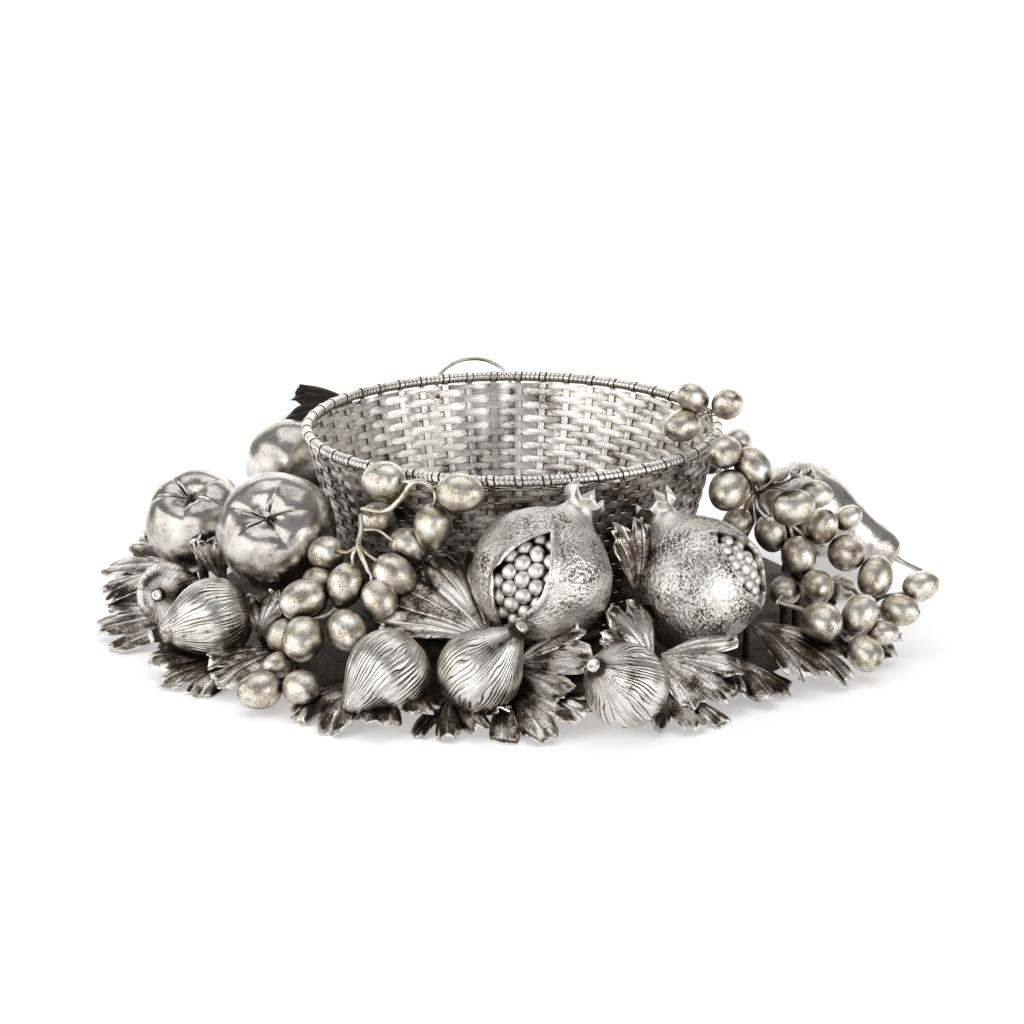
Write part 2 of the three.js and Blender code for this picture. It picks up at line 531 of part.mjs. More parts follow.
// A thin closed sheet from a grid of points on its two faces.
function shell(rows, columns, point) {
  const vertices = [];
  const index = (i, j, side) => ((side > 0 ? 1 : 0) * (rows + 1) + i) * (columns + 1) + j;
  for (const side of [-1, 1]) {
    for (let i = 0; i <= rows; i += 1) {
      for (let j = 0; j <= columns; j += 1) vertices.push(...point(i, j, side).toArray());
    }
  }
  const faces = [];
  const quad = (a, b, c, d) => faces.push(a, b, c, a, c, d);
  for (let i = 0; i < rows; i += 1) {
    for (let j = 0; j < columns; j += 1) {
      quad(index(i, j, 1), index(i + 1, j, 1), index(i + 1, j + 1, 1), index(i, j + 1, 1));
      quad(index(i, j, -1), index(i, j + 1, -1), index(i + 1, j + 1, -1), index(i + 1, j, -1));
    }
    quad(index(i, 0, 1), index(i, 0, -1), index(i + 1, 0, -1), index(i + 1, 0, 1));
    quad(index(i + 1, columns, 1), index(i + 1, columns, -1), index(i, columns, -1),
      index(i, columns, 1));
  }
  for (let j = 0; j < columns; j += 1) {
    quad(index(0, j + 1, 1), index(0, j + 1, -1), index(0, j, -1), index(0, j, 1));
    quad(index(rows, j, 1), index(rows, j, -1), index(rows, j + 1, -1), index(rows, j + 1, 1));
  }
  const geometry = new THREE.BufferGeometry();
  geometry.setAttribute('position', new THREE.Float32BufferAttribute(vertices, 3));
  geometry.setIndex(faces);
  return solidOf(geometry);
}

// Base plate: a flat disc with a post under each fruit, each low sprig and each low leaf
const PLATE_SIDES = 32;
const POST_MARGIN = 5; // from a post's foot to the plate's edge

// The foot of the post that carries a target: under it, or as near as the plate reaches.
function footUnder(target) {
  const reach = Math.hypot(target.x, target.y);
  const foot = Math.min(reach, PLATE_RADIUS - POST_MARGIN);
  return target.clone().multiplyScalar(foot / reach).setZ(PLATE_TOP / 2);
}

function postLength(target) {
  return footUnder(target).distanceTo(target);
}

function post(target, radius, grow) {
  const start = footUnder(target);
  return tube([start, target], radius + grow, 4, 1);
}

// The top of a leaf's stud, just clear of the leaf's sloping underside.
function underLeaf(row) {
  const { frame, face, length } = leafFrame(row);
  const reach = LEAF_FOOT + 2 * STUD_RADIUS;
  const rise = archAt(row, reach, length) - LEAF_FOLD * reach / length;
  const foot = new THREE.Vector3(reach, 0, rise).applyMatrix4(frame);
  const slope = face.angleTo(UP);
  const drop = (LEAF_THICKNESS / 2 + CLEARANCE) / Math.cos(slope) + STUD_RADIUS * Math.tan(slope);
  return foot.setZ(Math.max(foot.z - drop, PLATE_TOP));
}

function basePlate(grow) {
  const edge = PLATE_RADIUS + grow;
  const outline = [[0, -grow], [edge, -grow], [edge, PLATE_TOP + grow], [0, PLATE_TOP + grow]];
  const fruitPosts = FRUIT.map(({ middle }) => post(middle, PEG_RADIUS, grow));
  const sprigPosts = SPRIGS.filter(({ level }) => level !== RIM_HEIGHT).map((row) => {
    const places = row.grapes.map(([place]) => at(place));
    const nearest = [...places].sort((a, b) => postLength(a) - postLength(b))[0];
    return post(row.post ? places[row.post] : nearest, PEG_RADIUS, grow);
  });
  const leafStuds = LEAVES.filter(({ from }) => at(from).z < STUD_LONGEST)
    .map((row) => post(underLeaf(row), STUD_RADIUS, grow));
  const disc = solidOf(lathe(outline, PLATE_SIDES));
  // Slanting posts are trimmed level with the plate's underside.
  return union([disc, ...fruitPosts, ...sprigPosts, ...leafStuds]).trimByPlane(UP.toArray(), -grow);
}

// Finishes
const FINISHES = {
  woven: { color: 0xb9b6ad, roughness: 0.34 },
  polished: { color: 0xd2d0ca, roughness: 0.16 },
  satin: { color: 0xc2bba9, roughness: 0.3 },
  hammered: { color: 0xb4b2aa, roughness: 0.42 },
  oxidised: { color: 0x8c8479, roughness: 0.46 },
};

const fruitFinish = ({ form }) => {
  if (form === pomegranateHusk) return 'hammered';
  return form === fig ? 'oxidised' : 'polished';
};

// Pieces in seating order. Each gives way, with a clearance, to the pieces before it,
// but for the basket's own pieces, whose sizes fit each other already.
const PIECES = [
  { name: 'basket_wall', finish: 'woven', shape: basketWall, fitted: true },
  { name: 'basket_floor', finish: 'woven', shape: basketFloor, fitted: true },
  { name: 'basket_foot_ring', finish: 'woven', shape: footRing, fitted: true },
  { name: 'rim_core_hoop', finish: 'polished', shape: rimCore, fitted: true },
  { name: 'rim_binding', finish: 'woven', shape: rimBinding, fitted: true },
  ...FRUIT.map((fruit) => (
    { name: fruit.name, finish: fruitFinish(fruit), shape: (grow) => fruit.form(fruit, grow) })),
  ...SPRIGS.map((row) => (
    { name: row.name, finish: 'satin', shape: (grow) => sprig(row, grow) })),
  { name: 'vine_tendril', finish: 'polished', shape: vineTendril },
  { name: 'base_plate', finish: 'oxidised', shape: basePlate },
  ...LEAVES.map((row) => (
    { name: row.name, finish: 'oxidised', shape: (grow) => leaf(row, grow) })),
];

// Seeds lie in their husk's split, so they are fitted apart from the rest.
const SEEDS = FRUIT.filter((fruit) => fruit.split).map((fruit) => (
  { name: `${fruit.name}_seeds`, finish: 'satin', shape: (grow) => pomegranateSeeds(fruit, grow) }));

function touching(a, b) {
  const [p, q] = [a.boundingBox(), b.boundingBox()];
  return [0, 1, 2].every((k) => p.min[k] < q.max[k] && q.min[k] < p.max[k]);
}

function fitAll(pieces) {
  const cutters = [];
  return pieces.map((piece) => {
    const near = piece.fitted ? [] : cutters;
    const whole = piece.shape(0);
    const cut = near.reduce(
      (solid, cutter) => (touching(solid, cutter) ? solid.subtract(cutter) : solid), whole);
    cutters.push(piece.shape(CLEARANCE));
    return { ...piece, solid: piece.fitted ? whole : largestBody(cut) };
  });
}

function meshOf({ name, finish, solid }) {
  const { vertProperties, triVerts } = solid.getMesh();
  const geometry = new THREE.BufferGeometry();
  geometry.setAttribute('position', new THREE.Float32BufferAttribute(vertProperties, 3));
  geometry.setIndex([...triVerts]);
  geometry.computeVertexNormals();
  const material = new THREE.MeshStandardMaterial({ ...FINISHES[finish], metalness: 1 });
  const mesh = new THREE.Mesh(geometry, material);
  mesh.name = name;
  return mesh;
}

const centrepiece = new THREE.Group();
const seeds = SEEDS.map((piece) => ({ ...piece, solid: largestBody(piece.shape(0)) }));
for (const piece of [...fitAll(PIECES), ...seeds]) centrepiece.add(meshOf(piece));

export default centrepiece;
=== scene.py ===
import math
import random

import bpy
import numpy as np
from mathutils import Matrix, Vector, noise


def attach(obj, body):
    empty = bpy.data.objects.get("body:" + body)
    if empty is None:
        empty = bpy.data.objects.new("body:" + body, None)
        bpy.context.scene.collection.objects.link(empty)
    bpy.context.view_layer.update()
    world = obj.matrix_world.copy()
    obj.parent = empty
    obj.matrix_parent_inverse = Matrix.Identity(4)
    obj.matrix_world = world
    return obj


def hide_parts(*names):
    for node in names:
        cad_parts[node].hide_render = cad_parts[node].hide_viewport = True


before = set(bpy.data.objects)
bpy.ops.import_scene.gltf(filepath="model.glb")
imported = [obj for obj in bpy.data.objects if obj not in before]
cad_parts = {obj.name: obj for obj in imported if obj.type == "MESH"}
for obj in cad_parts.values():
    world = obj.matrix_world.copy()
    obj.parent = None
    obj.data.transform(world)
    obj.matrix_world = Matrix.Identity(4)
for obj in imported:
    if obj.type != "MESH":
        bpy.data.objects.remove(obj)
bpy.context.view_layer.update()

bl_info = {
    "name": "Centrepiece basket",
    "version": (1, 0, 0),
    "blender": (4, 5, 0),
    "location": "View3D > Sidebar > Centrepiece",
    "description": "Builds the looks of a woven silver basket in a wreath of silver fruit",
    "category": "Object",
}

MM = 0.001
CLEARANCE = 0.3 * MM  # from the plate to the foot ring, and from the table to a leaf's edge
HUSK_WALL = 1.6 * MM
CROWN_START, CROWN_RISE = 1.14, 0.16  # a pomegranate's crown: its foot and height, as shares of the radius
EDGE_MARK = 4  # added to a strip's kept wave, which is 1 at most, along its edges
LEAF_NOTCH = 0.27  # depth of the cuts between lobes, as a share of the leaf's length
LEAF_TAPER = 0.12  # how much shorter a leaf is at its sides, as a share
LEAF_FOOT = 3 * MM  # from a leaf's root to where its blade starts
LEAF_LEAN = 0.8  # how far a leaf's face leans out of the wreath


# Sizes and colours that a user may change


def linear(code):
    """An sRGB hex colour as the four linear values that a shader takes."""
    channels = [int(code[i : i + 2], 16) / 255 for i in (1, 3, 5)]
    return [c / 12.92 if c <= 0.04045 else ((c + 0.055) / 1.055) ** 2.4 for c in channels] + [1.0]


def length(name, description, millimetres):
    return bpy.props.FloatProperty(
        name=name, description=description, default=millimetres * MM, min=0, unit="LENGTH"
    )


def colour(name, description, code):
    return bpy.props.FloatVectorProperty(
        name=name, description=description, default=linear(code), size=4, min=0, max=1, subtype="COLOR"
    )


class BasketSizes(bpy.types.PropertyGroup):
    rim_radius: length("Rim radius", "Middle of the basket to the middle of the rim roll", 107)
    rim_height: length("Rim height", "Table to the middle of the rim roll", 101)
    rim_roll: length("Rim roll", "Radius of the strip wound over the rim", 2.9)
    foot_radius: length("Wall foot radius", "Outside of the wall where it meets the floor", 75)
    foot_height: length("Wall foot height", "Table to the lowest row of weave", 8)
    wall_top: length("Wall top", "Table to the top of the stakes, inside the rim roll", 99.3)
    wall_belly: bpy.props.FloatProperty(
        name="Belly", description="How soon the wall swells out; 1 is a straight flare", default=0.62
    )
    stakes: bpy.props.IntProperty(
        name="Stakes", description="Upright strips; an odd number lets one weaver run on", default=49
    )
    stake_width: length("Stake width", "Width of an upright strip", 3.5)
    strip_width: length("Weaver width", "Width of the strip woven round", 3.55)
    strip_pitch: length("Row pitch", "From one row of weave to the next", 3.8)
    strip_thickness: length("Strip thickness", "Thickness of the silver strip", 0.45)
    wrap_band: length("Stake end band", "Width of the stake ends turned over the rim", 3.6)
    ring_radius: length("Foot ring radius", "Outside of the ring under the floor", 71)
    ring_width: length("Foot ring width", "Width of the ring under the floor", 5)
    ring_height: length("Foot ring height", "Height of the ring under the floor", 5.4)
    plate_radius: length("Base plate radius", "Plate that carries the wreath", 166)
    plate_thickness: length("Base plate thickness", "Thickness of that plate", 2)


class WreathSizes(bpy.types.PropertyGroup):
    width: length("Wreath width", "Rim to leaf tips, seen from above", 100)
    apple_large: length("Large apple", "Radius of the front apple", 30.5)
    apple_middle: length("Middle apple", "Radius of the outer apple", 27)
    apple_small: length("Small apple", "Radius of the back apple", 25)
    pomegranate: length("Pomegranate", "Radius of a pomegranate", 34.5)
    split_length: length("Split length", "Opening in the husk, end to end", 52)
    split_width: length("Split width", "Opening in the husk, across the middle", 25)
    seed: length("Seed", "Radius of a seed", 4.3)
    fig: length("Fig", "Radius of a fig", 20.5)
    fig_small: length("Small fig", "Radius of the outer left fig", 16.5)
    pear: length("Pear", "Radius of a pear", 25)
    grape_length: length("Grape half length", "Middle to tip of a grape", 12.2)
    grape_width: length("Grape half width", "Radius of a grape's waist", 9.7)
    vine: length("Vine", "Radius of a sprig's vine", 1.35)
    stalk: length("Stalk", "Radius of a grape's stalk", 0.9)
    tendril: length("Tendril", "Radius of the loop behind the rim", 1.05)
    leaf_thickness: length("Leaf thickness", "Thickness of the leaf sheet", 0.8)
    leaf_fold: length("Leaf fold", "Height of the pleats at a leaf's edge", 1.5)


class Finishes(bpy.types.PropertyGroup):
    bright: colour("Bright silver", "Silver worn bright on ridges and rims", "#f6f2ea")
    polished: colour("Polished silver", "Polished silver on the fruit", "#ddd8d0")
    warm: colour("Warm silver", "Handled silver on the grapes and seeds", "#cbbfa9")
    worn: colour("Worn silver", "Silver that has dulled grey", "#aea79f")
    # brown and oxide are also the colours of the painted shade that silver() lays where nearby surfaces shut
    # a spot in
    brown: colour("Brown tarnish", "Thin tarnish round the hollows", "#6c5d4c")
    oxide: colour("Oxide", "Black-brown oxide in the hollows", "#37302a")
    table: colour("Table", "Pale board that the piece stands on", "#f4f4f5")


def basket():
    return bpy.context.scene.basket_sizes


def wreath():
    return bpy.context.scene.wreath_sizes


def finishes():
    return bpy.context.scene.silver_finishes


# The wreath's layout, as in the solids


def at(place, level=None):
    """A place in the wreath: bearing in degrees from the front, hundredths of the wreath's width out
    from the rim, and hundredths of the rim's height above the base plate or another level."""
    bearing, out, height = place
    sizes = basket()
    angle = math.radians(bearing)
    radius = sizes.rim_radius + sizes.rim_roll + out * wreath().width / 100
    base = sizes.plate_thickness if level is None else level
    return Vector(
        (radius * math.sin(angle), -radius * math.cos(angle), base + height * sizes.rim_height / 100)
    )


APPLES = [
    # node, size, place, axis, lobes
    ("apple_front_left", "apple_large", (-59, 28, 61), (-0.22, -0.77, 0.6), 5),
    ("apple_outer_left", "apple_middle", (-80, 55, 54), (-0.19, -0.49, 0.84), 5),
    ("apple_back_left", "apple_small", (-116, 23, 61), (-0.1, 0.6, 0.8), 5),
    ("apple_back_right", "apple_middle", (145, 30, 54), (0.3, 0.6, 0.75), 6),
]
POMEGRANATES = [
    # node, place, axis, the way the split faces and the way that it runs
    ("pomegranate_front", (6, 25, 58), (0.49, 0.25, 0.83), ((-0.3, -0.92, 0.24), (0.45, 0.1, 0.87))),
    ("pomegranate_right", (42, 26, 44), (-0.44, 0.25, 0.86), ((0.78, -0.46, 0.42), (-0.5, -0.2, 0.8))),
    ("pomegranate_back", (177, 27, 46), (0.3, 0.75, 0.6), None),
]
PEARS = [
    # node, place, axis
    ("pear_right", (96, 44, 50), (0.88, -0.1, -0.46)),
    ("pear_back_left", (-148, 32, 44), (-0.35, 0.88, -0.32)),
]
FIGS = [
    # node, size, place, axis
    ("fig_left", "fig", (-56, 70, 26), (-0.93, -0.3, -0.2)),
    ("fig_outer_left", "fig_small", (-71, 76, 26), (-0.12, -0.95, 0.28)),
    ("fig_front_left", "fig", (-18.5, 75.5, 24), (-0.7, -0.3, -0.65)),
    ("fig_front_middle", "fig", (-5, 71, 25), (0.62, -0.2, 0.76)),
    ("fig_front_right", "fig", (16, 87, 21.5), (-0.5, -0.68, 0.54)),
    ("fig_back_left", "fig", (-168, 72, 24), (0.5, 0.8, 0.1)),
    ("fig_back_right", "fig", (160, 72, 24), (0.1, 0.9, 0.4)),
]
SPRIGS = [
    # node, whether its heights start at the rim, the vine's joints, and its grapes: place, joint, size
    ("grape_sprig_left_rim", True,
     [(-34, 22, -13), (-28, 22, -12), (-25, 20, -6), (-21, 19, 4), (-18, 13, -1), (-16, -1, 1)],
     [((-31, 13, 0), 3, 1), ((-12, 12, -2), 4, 1), ((-19, 10, -21), 4, 1), ((-35, 6, -23), 0, 0.9)]),
    ("grape_sprig_left_middle", False,
     [(-34, 24, 82), (-32, 30, 77), (-31, 36, 71), (-29, 36, 59)],
     [((-25, 10, 66), 1, 0.9), ((-42, 28, 60), 2, 0.9), ((-25, 27, 55), 2, 1.05),
      ((-33, 40, 51), 2, 0.95), ((-26, 38, 45), 3, 0.95)]),
    ("grape_sprig_left_outer", False,
     [(-37, 40, 47), (-34, 46, 40), (-37, 56, 35)],
     [((-39, 53, 44), 0, 1.05), ((-41, 36, 47), 0, 0.85), ((-29, 56, 34), 1, 1),
      ((-35, 68, 30), 2, 1.05), ((-42, 58, 25), 2, 0.85)]),
    ("grape_sprig_left_low", False,
     [(-37, 66, 18), (-35, 78, 10)],
     [((-38, 76, 17), 0, 0.65), ((-37, 93, 9.5), 1, 0.95), ((-31.5, 85, 12), 1, 0.92)]),
    ("grape_sprig_right_rim", True,
     [(66, 14, 2), (69, 4, 4.6), (73, -2, 6), (76, -5, 13)],
     [((65, -14, 11), 3, 0.87), ((69, -11, 24), 3, 0.8), ((70, 7, 22), 3, 0.8),
      ((72, 12, 2), 0, 0.7), ((61, 13, 2), 0, 0.85), ((65, 25, -6), 0, 0.92)]),
    ("grape_sprig_right_upper", False,
     [(67, 15, 96), (73, 17, 88), (66, 26, 78), (62, 38, 70)],
     [((59, 18, 82), 1, 1.05), ((67, 15, 60), 2, 0.75), ((64, 48, 74), 3, 0.95),
      ((69, 55, 78), 2, 0.75), ((69, 32, 55), 2, 0.85)]),
    ("grape_sprig_right_middle", False,
     [(69, 42, 61), (73, 52, 49), (78, 60, 42)],
     [((72, 57, 59), 1, 0.82), ((76, 68, 61), 1, 0.65), ((68, 48, 45), 0, 0.92),
      ((72, 70, 46), 2, 0.98)]),
    ("grape_sprig_right_outer", False,
     [(70, 55, 33), (73, 70, 28), (69, 84, 22)],
     [((64, 62, 34), 0, 0.9), ((75, 66, 24), 1, 0.75), ((71, 86, 36), 2, 0.93),
      ((69, 101, 22), 2, 0.85), ((73, 108, 31), 2, 0.8)]),
    ("grape_sprig_right_low", False,
     [(57, 50, 30), (60, 64, 24), (60, 84, 13)],
     [((56, 77, 25), 1, 1.05), ((62, 88, 25), 2, 0.92), ((64, 98, 15), 2, 0.68),
      ((57.5, 99, 11), 2, 0.9), ((64, 45, 30), 0, 0.82)]),
    ("grape_sprig_back_left", False,
     [(-130, 34, 50), (-132, 48, 38), (-131, 62, 24)],
     [((-127, 46, 50), 0, 0.95), ((-136, 34, 60), 0, 0.9), ((-136, 54, 40), 1, 1),
      ((-127, 60, 34), 1, 1), ((-134, 72, 24), 2, 0.95), ((-127, 78, 16), 2, 0.9)]),
    ("grape_sprig_back_right", False,
     [(122, 22, 60), (124, 40, 46), (125, 60, 28)],
     [((117, 16, 70), 0, 0.95), ((127, 26, 58), 0, 0.9), ((118, 40, 52), 1, 1),
      ((128, 48, 40), 1, 1), ((120, 60, 34), 1, 0.95), ((129, 68, 22), 2, 0.95),
      ((121, 80, 16), 2, 0.9)]),
]
LEAVES = [
    # node, root, tip, lobes, fan in degrees each side, arch in hundredths of the length, tilt in degrees
    ("leaf_left_upper", (-82, 58, 26), (-89, 107, 21), 3, 44, 8, 0),
    ("leaf_left_lower", (-73, 56, 9), (-80, 110, 6), 4, 48, 6, 0),
    ("leaf_fig_left", (-52, 58, 8), (-57, 107, 3), 4, 56, 6, 0),
    ("leaf_fig_inner", (-43, 54, 16), (-46, 95, 3), 3, 48, 6, 0),
    ("leaf_between_apples", (-68, 48, 31), (-67, 60, 60), 2, 32, 6, 50),
    ("leaf_grapes_left", (-46, 64, 24), (-51, 42, 40), 3, 44, 6, 0),
    ("leaf_front_left", (-23, 52, 8), (-20.5, 108, 1), 4, 58, 12, 0),
    ("leaf_front_small", (-10, 56, 8), (-6, 99, 2), 4, 46, 6, 0),
    ("leaf_middle_upper", (0, 50, 20), (13, 69, 29), 3, 50, 6, 0),
    ("leaf_middle_lower", (-1, 56, 12), (8, 97, 2), 4, 54, 8, 0),
    ("leaf_centre_rising", (-4, 44, 32), (-25, 14, 56), 4, 48, 8, 0),
    ("leaf_between_pomegranates", (26, 48, 16), (18, 36, 44), 3, 48, 8, 0),
    ("leaf_shell", (27, 24, 44), (25, 20, 85), 2, 26, 12, 0),
    ("leaf_right_upper", (26, 50, 20), (35, 86, 11), 4, 52, 8, 0),
    ("leaf_right_low", (26, 58, 8), (21, 104, 2), 4, 54, 6, 0),
    ("leaf_right_outer", (40, 50, 13), (36, 93, 3), 4, 52, 8, 0),
    ("leaf_long_right", (53, 38, 20), (52, 104, 2), 3, 36, 8, 0),
    ("leaf_right_end", (65, 66, 10), (70.5, 104, 6), 3, 50, 6, 0),
    ("leaf_pear", (66, 26, 76), (65, 58, 93), 2, 26, 6, 0),
    ("leaf_back_left", (-131, 1, 90), (-119, 34, 82), 3, 44, 10, -55),
    ("leaf_back_low_left", (-112, 52, 14), (-112, 106, 5), 4, 58, 10, 0),
    ("leaf_back_middle", (-150, 56, 10), (-153, 106, 3), 4, 54, 8, 0),
    ("leaf_back_right", (174, 52, 12), (175, 106, 3), 4, 58, 8, 0),
    ("leaf_back_low_right", (112, 52, 12), (108, 106, 4), 4, 58, 10, 0),
]
TENDRIL = [(-157, -6, -9), (-159, 5, -3), (-163, 13, 2.5), (-170, 17, 5.5),
           (-176, 14, 2.5), (-179, 6, -3), (-180, -6, -9)]

# Fruit outlines: radius and height as shares of the fruit's radius, from the blossom end up
APPLE = [(0, -0.66), (0.12, -0.72), (0.34, -0.82), (0.64, -0.7), (0.92, -0.3), (1, 0.12),
         (0.9, 0.52), (0.66, 0.79), (0.44, 0.86), (0.26, 0.82), (0.12, 0.73), (0, 0.68)]
POMEGRANATE = [(0, -0.96), (0.38, -0.9), (0.78, -0.62), (1, 0), (0.88, 0.5), (0.57, 0.81),
               (0.34, 0.95), (0.23, 1.08), (0.23, 1.2), (0.3, 1.34), (0.27, 1.35), (0.19, 1.22),
               (0.14, 1.1), (0, 1.06)]
FIG = [(0, -0.9), (0.16, -0.92), (0.48, -0.85), (0.86, -0.52), (1, 0), (0.88, 0.48), (0.56, 0.95),
       (0.29, 1.3), (0.17, 1.5), (0.155, 1.64), (0.12, 1.66), (0, 1.63)]
PEAR = [(0, -0.86), (0.1, -0.9), (0.45, -0.88), (0.86, -0.5), (1, 0), (0.93, 0.46), (0.69, 1.02),
        (0.53, 1.5), (0.45, 1.95), (0.32, 2.24), (0.12, 2.32), (0, 2.28)]


# Making and shaping


def read(rows, key, width=1, kind=np.float32):
    """One value, or one vector of that width, from every row of a mesh's data."""
    found = np.empty(len(rows) * width, kind)
    rows.foreach_get(key, found)
    return found.reshape(-1, width) if width > 1 else found


def points(piece):
    """Every point of a piece as rows of an array."""
    return read(piece.data.vertices, "co", 3).astype(float)


def normals(piece):
    return read(piece.data.vertex_normals, "vector", 3).astype(float)


def mould(piece, rule):
    """Moves all the points of a piece at once by a rule on the array of their places."""
    moved = np.asarray(rule(points(piece)), np.float32)
    piece.data.vertices.foreach_set("co", moved.ravel())
    piece.data.update()


def stain_and_shade(piece, depth):
    """Keeps how dark each point is to be: how deep in a hollow it lies, and on some pieces painted shade as
    well. 1 is dark and -1 is a worn ridge.
    """
    layer = piece.data.attributes.get("hollow")
    layer = layer or piece.data.attributes.new("hollow", "FLOAT", "POINT")
    layer.data.foreach_set("value", np.full(len(piece.data.vertices), depth, np.float32))


def stains_and_shade(piece):
    return read(piece.data.attributes["hollow"].data, "value").astype(float)


def hollows(piece, spread, depth):
    """How far each point lies under its surroundings, smoothed spread times, as a share of depth."""
    places = points(piece)
    ends = read(piece.data.edges, "vertices", 2, np.int32)
    near, far = np.concatenate([ends, ends[:, ::-1]]).T
    count = np.maximum(np.bincount(near, minlength=len(places)), 1)[:, None]
    smooth = places
    for _ in range(spread):
        total = np.column_stack(
            [np.bincount(near, smooth[far, k], minlength=len(places)) for k in range(3)]
        )
        smooth = (smooth + total / count) / 2
    return np.clip(((smooth - places) * normals(piece)).sum(1) / depth, -1, 1)


def carried(places, matrix):
    """Rows of places taken through a 4 by 4 matrix."""
    matrix = np.array(matrix)
    return places @ matrix[:3, :3].T + matrix[:3, 3]


def around(radius, turn, height):
    """Places at that radius, turn about Z and height."""
    return np.column_stack([radius * np.cos(turn), radius * np.sin(turn), height])


def grain(places, size, seed=0.0):
    """Smooth noise between about -1 and 1 at each place, with lumps of that size."""
    return np.array([noise.noise(p) for p in (places / size + seed).tolist()])


def smooth_line(knots, count):
    """A smooth curve through the knots as evenly spaced points."""
    knots = np.array(knots, float)
    ends = np.vstack([2 * knots[0] - knots[1], knots, 2 * knots[-1] - knots[-2]])
    t = np.linspace(0, 1, 16, endpoint=False)[:, None]
    runs = [
        (2 * b + (c - a) * t + (2 * a - 5 * b + 4 * c - d) * t**2 + (3 * b - a - 3 * c + d) * t**3) / 2
        for a, b, c, d in zip(ends, ends[1:], ends[2:], ends[3:])
    ]
    line = np.vstack([*runs, knots[-1:]])
    run = np.concatenate([[0], np.cumsum(np.linalg.norm(np.diff(line, axis=0), axis=1))])
    even = np.linspace(0, run[-1], count)
    return np.column_stack([np.interp(even, run, line[:, k]) for k in range(knots.shape[1])])


def begin(name):
    """Takes the object that was just made as the start of a piece."""
    piece = bpy.context.object
    piece.name = piece.data.name = name
    return piece


def in_scene(name, data):
    """A new object of that data, in the scene."""
    thing = bpy.data.objects.new(name, data)
    bpy.context.scene.collection.objects.link(thing)
    return thing


def deselect():
    bpy.ops.object.select_all(action="DESELECT")


def added(primitive, name, **settings):
    """Adds a primitive with nothing else selected and starts a piece with it."""
    deselect()
    primitive(**settings)
    return begin(name)


def only(piece):
    deselect()
    piece.select_set(True)
    bpy.context.view_layer.objects.active = piece


def join(pieces, name):
    """Makes one piece of several."""
    deselect()
    for piece in pieces:
        piece.select_set(True)
    bpy.context.view_layer.objects.active = pieces[0]
    bpy.ops.object.join()
    return begin(name)


def spaced_round(first, count):
    """A piece and its copies, evenly spaced about Z."""
    ring = [first]
    for k in range(1, count):
        copy = in_scene(first.name, first.data.copy())
        copy.data.transform(Matrix.Rotation(2 * math.pi * k / count, 4, "Z"))
        ring.append(copy)
    return ring


def use(piece, kind, **settings):
    """Adds a modifier and applies it."""
    only(piece)
    modifier = piece.modifiers.new(kind, kind)
    for key, value in settings.items():
        setattr(modifier, key, value)
    bpy.ops.object.modifier_apply(modifier=modifier.name)


def close_up(piece):
    """Merges doubled points and turns every face outwards."""
    only(piece)
    bpy.ops.object.mode_set(mode="EDIT")
    bpy.ops.mesh.select_all(action="SELECT")
    bpy.ops.mesh.remove_doubles(threshold=1e-6)
    bpy.ops.mesh.normals_make_consistent(inside=False)
    bpy.ops.object.mode_set(mode="OBJECT")


def finish(piece, node, look, angle=60):
    """Leaves a finished piece at the origin, in place of its solid and riding on the one body."""
    only(piece)
    bpy.ops.object.transform_apply()
    bpy.ops.object.shade_smooth_by_angle(angle=math.radians(angle))
    piece.data.materials.clear()
    piece.data.materials.append(finish_named(look))
    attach(piece, "root")
    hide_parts(node)


def aimed(axis, middle):
    """Turns a body from +Z to an axis and moves it to its middle."""
    turn = Vector((0, 0, 1)).rotation_difference(Vector(axis).normalized())
    return Matrix.Translation(middle) @ turn.to_matrix().to_4x4()


def turned(name, outline, radius, sides, rings, shape=None):
    """A grid rolled about Z along a turned outline, shaped by its own rule, then closed along its
    seam and at its two poles."""
    piece = added(bpy.ops.mesh.primitive_grid_add, name, x_subdivisions=sides, y_subdivisions=rings, size=1)
    line = smooth_line(outline, 600)
    steps = np.linspace(0, 1, len(line))

    def rule(places):
        turn, share = places[:, 0] * 2 * math.pi, places[:, 1] + 0.5
        out = np.maximum(np.interp(share, steps, line[:, 0]), 0) * radius
        up = np.interp(share, steps, line[:, 1]) * radius
        if shape:
            out, up = shape(out, up, turn, share)
        for pole in (share < 1e-4, share > 1 - 1e-4):
            out[pole], up[pole] = 0, up[pole].mean()
        return around(out, turn, up)

    mould(piece, rule)
    close_up(piece)
    return piece


def wires(name, runs, sides=3):
    """Round wires, each through its own points with a radius at each of them."""
    line = bpy.data.curves.new(name, "CURVE")
    line.dimensions = "3D"
    line.bevel_depth = 1
    line.bevel_resolution = sides
    line.resolution_u = 8
    line.use_fill_caps = True
    for run in runs:
        spline = line.splines.new("BEZIER")
        spline.bezier_points.add(len(run) - 1)
        for knot, (place, radius) in zip(spline.bezier_points, run):
            knot.co = place
            knot.radius = radius
            knot.handle_left_type = knot.handle_right_type = "AUTO"
    only(in_scene(name, line))
    bpy.ops.object.convert(target="MESH")
    piece = bpy.context.object
    close_up(piece)
    return piece


# Finishes


def add(tree, kind, settings=(), links=(), output=0):
    """Adds one node and gives back one of its outputs. A setting is a property of the node or the value
    of an input, and a link takes another node's output to an input."""
    node = tree.nodes.new("ShaderNode" + kind)
    for key, value in dict(settings).items():
        if isinstance(key, str) and hasattr(node, key):
            setattr(node, key, value)
        else:
            node.inputs[key].default_value = value
    for key, source in dict(links).items():
        tree.links.new(source, node.inputs[key])
    return node.outputs[output] if node.outputs else None


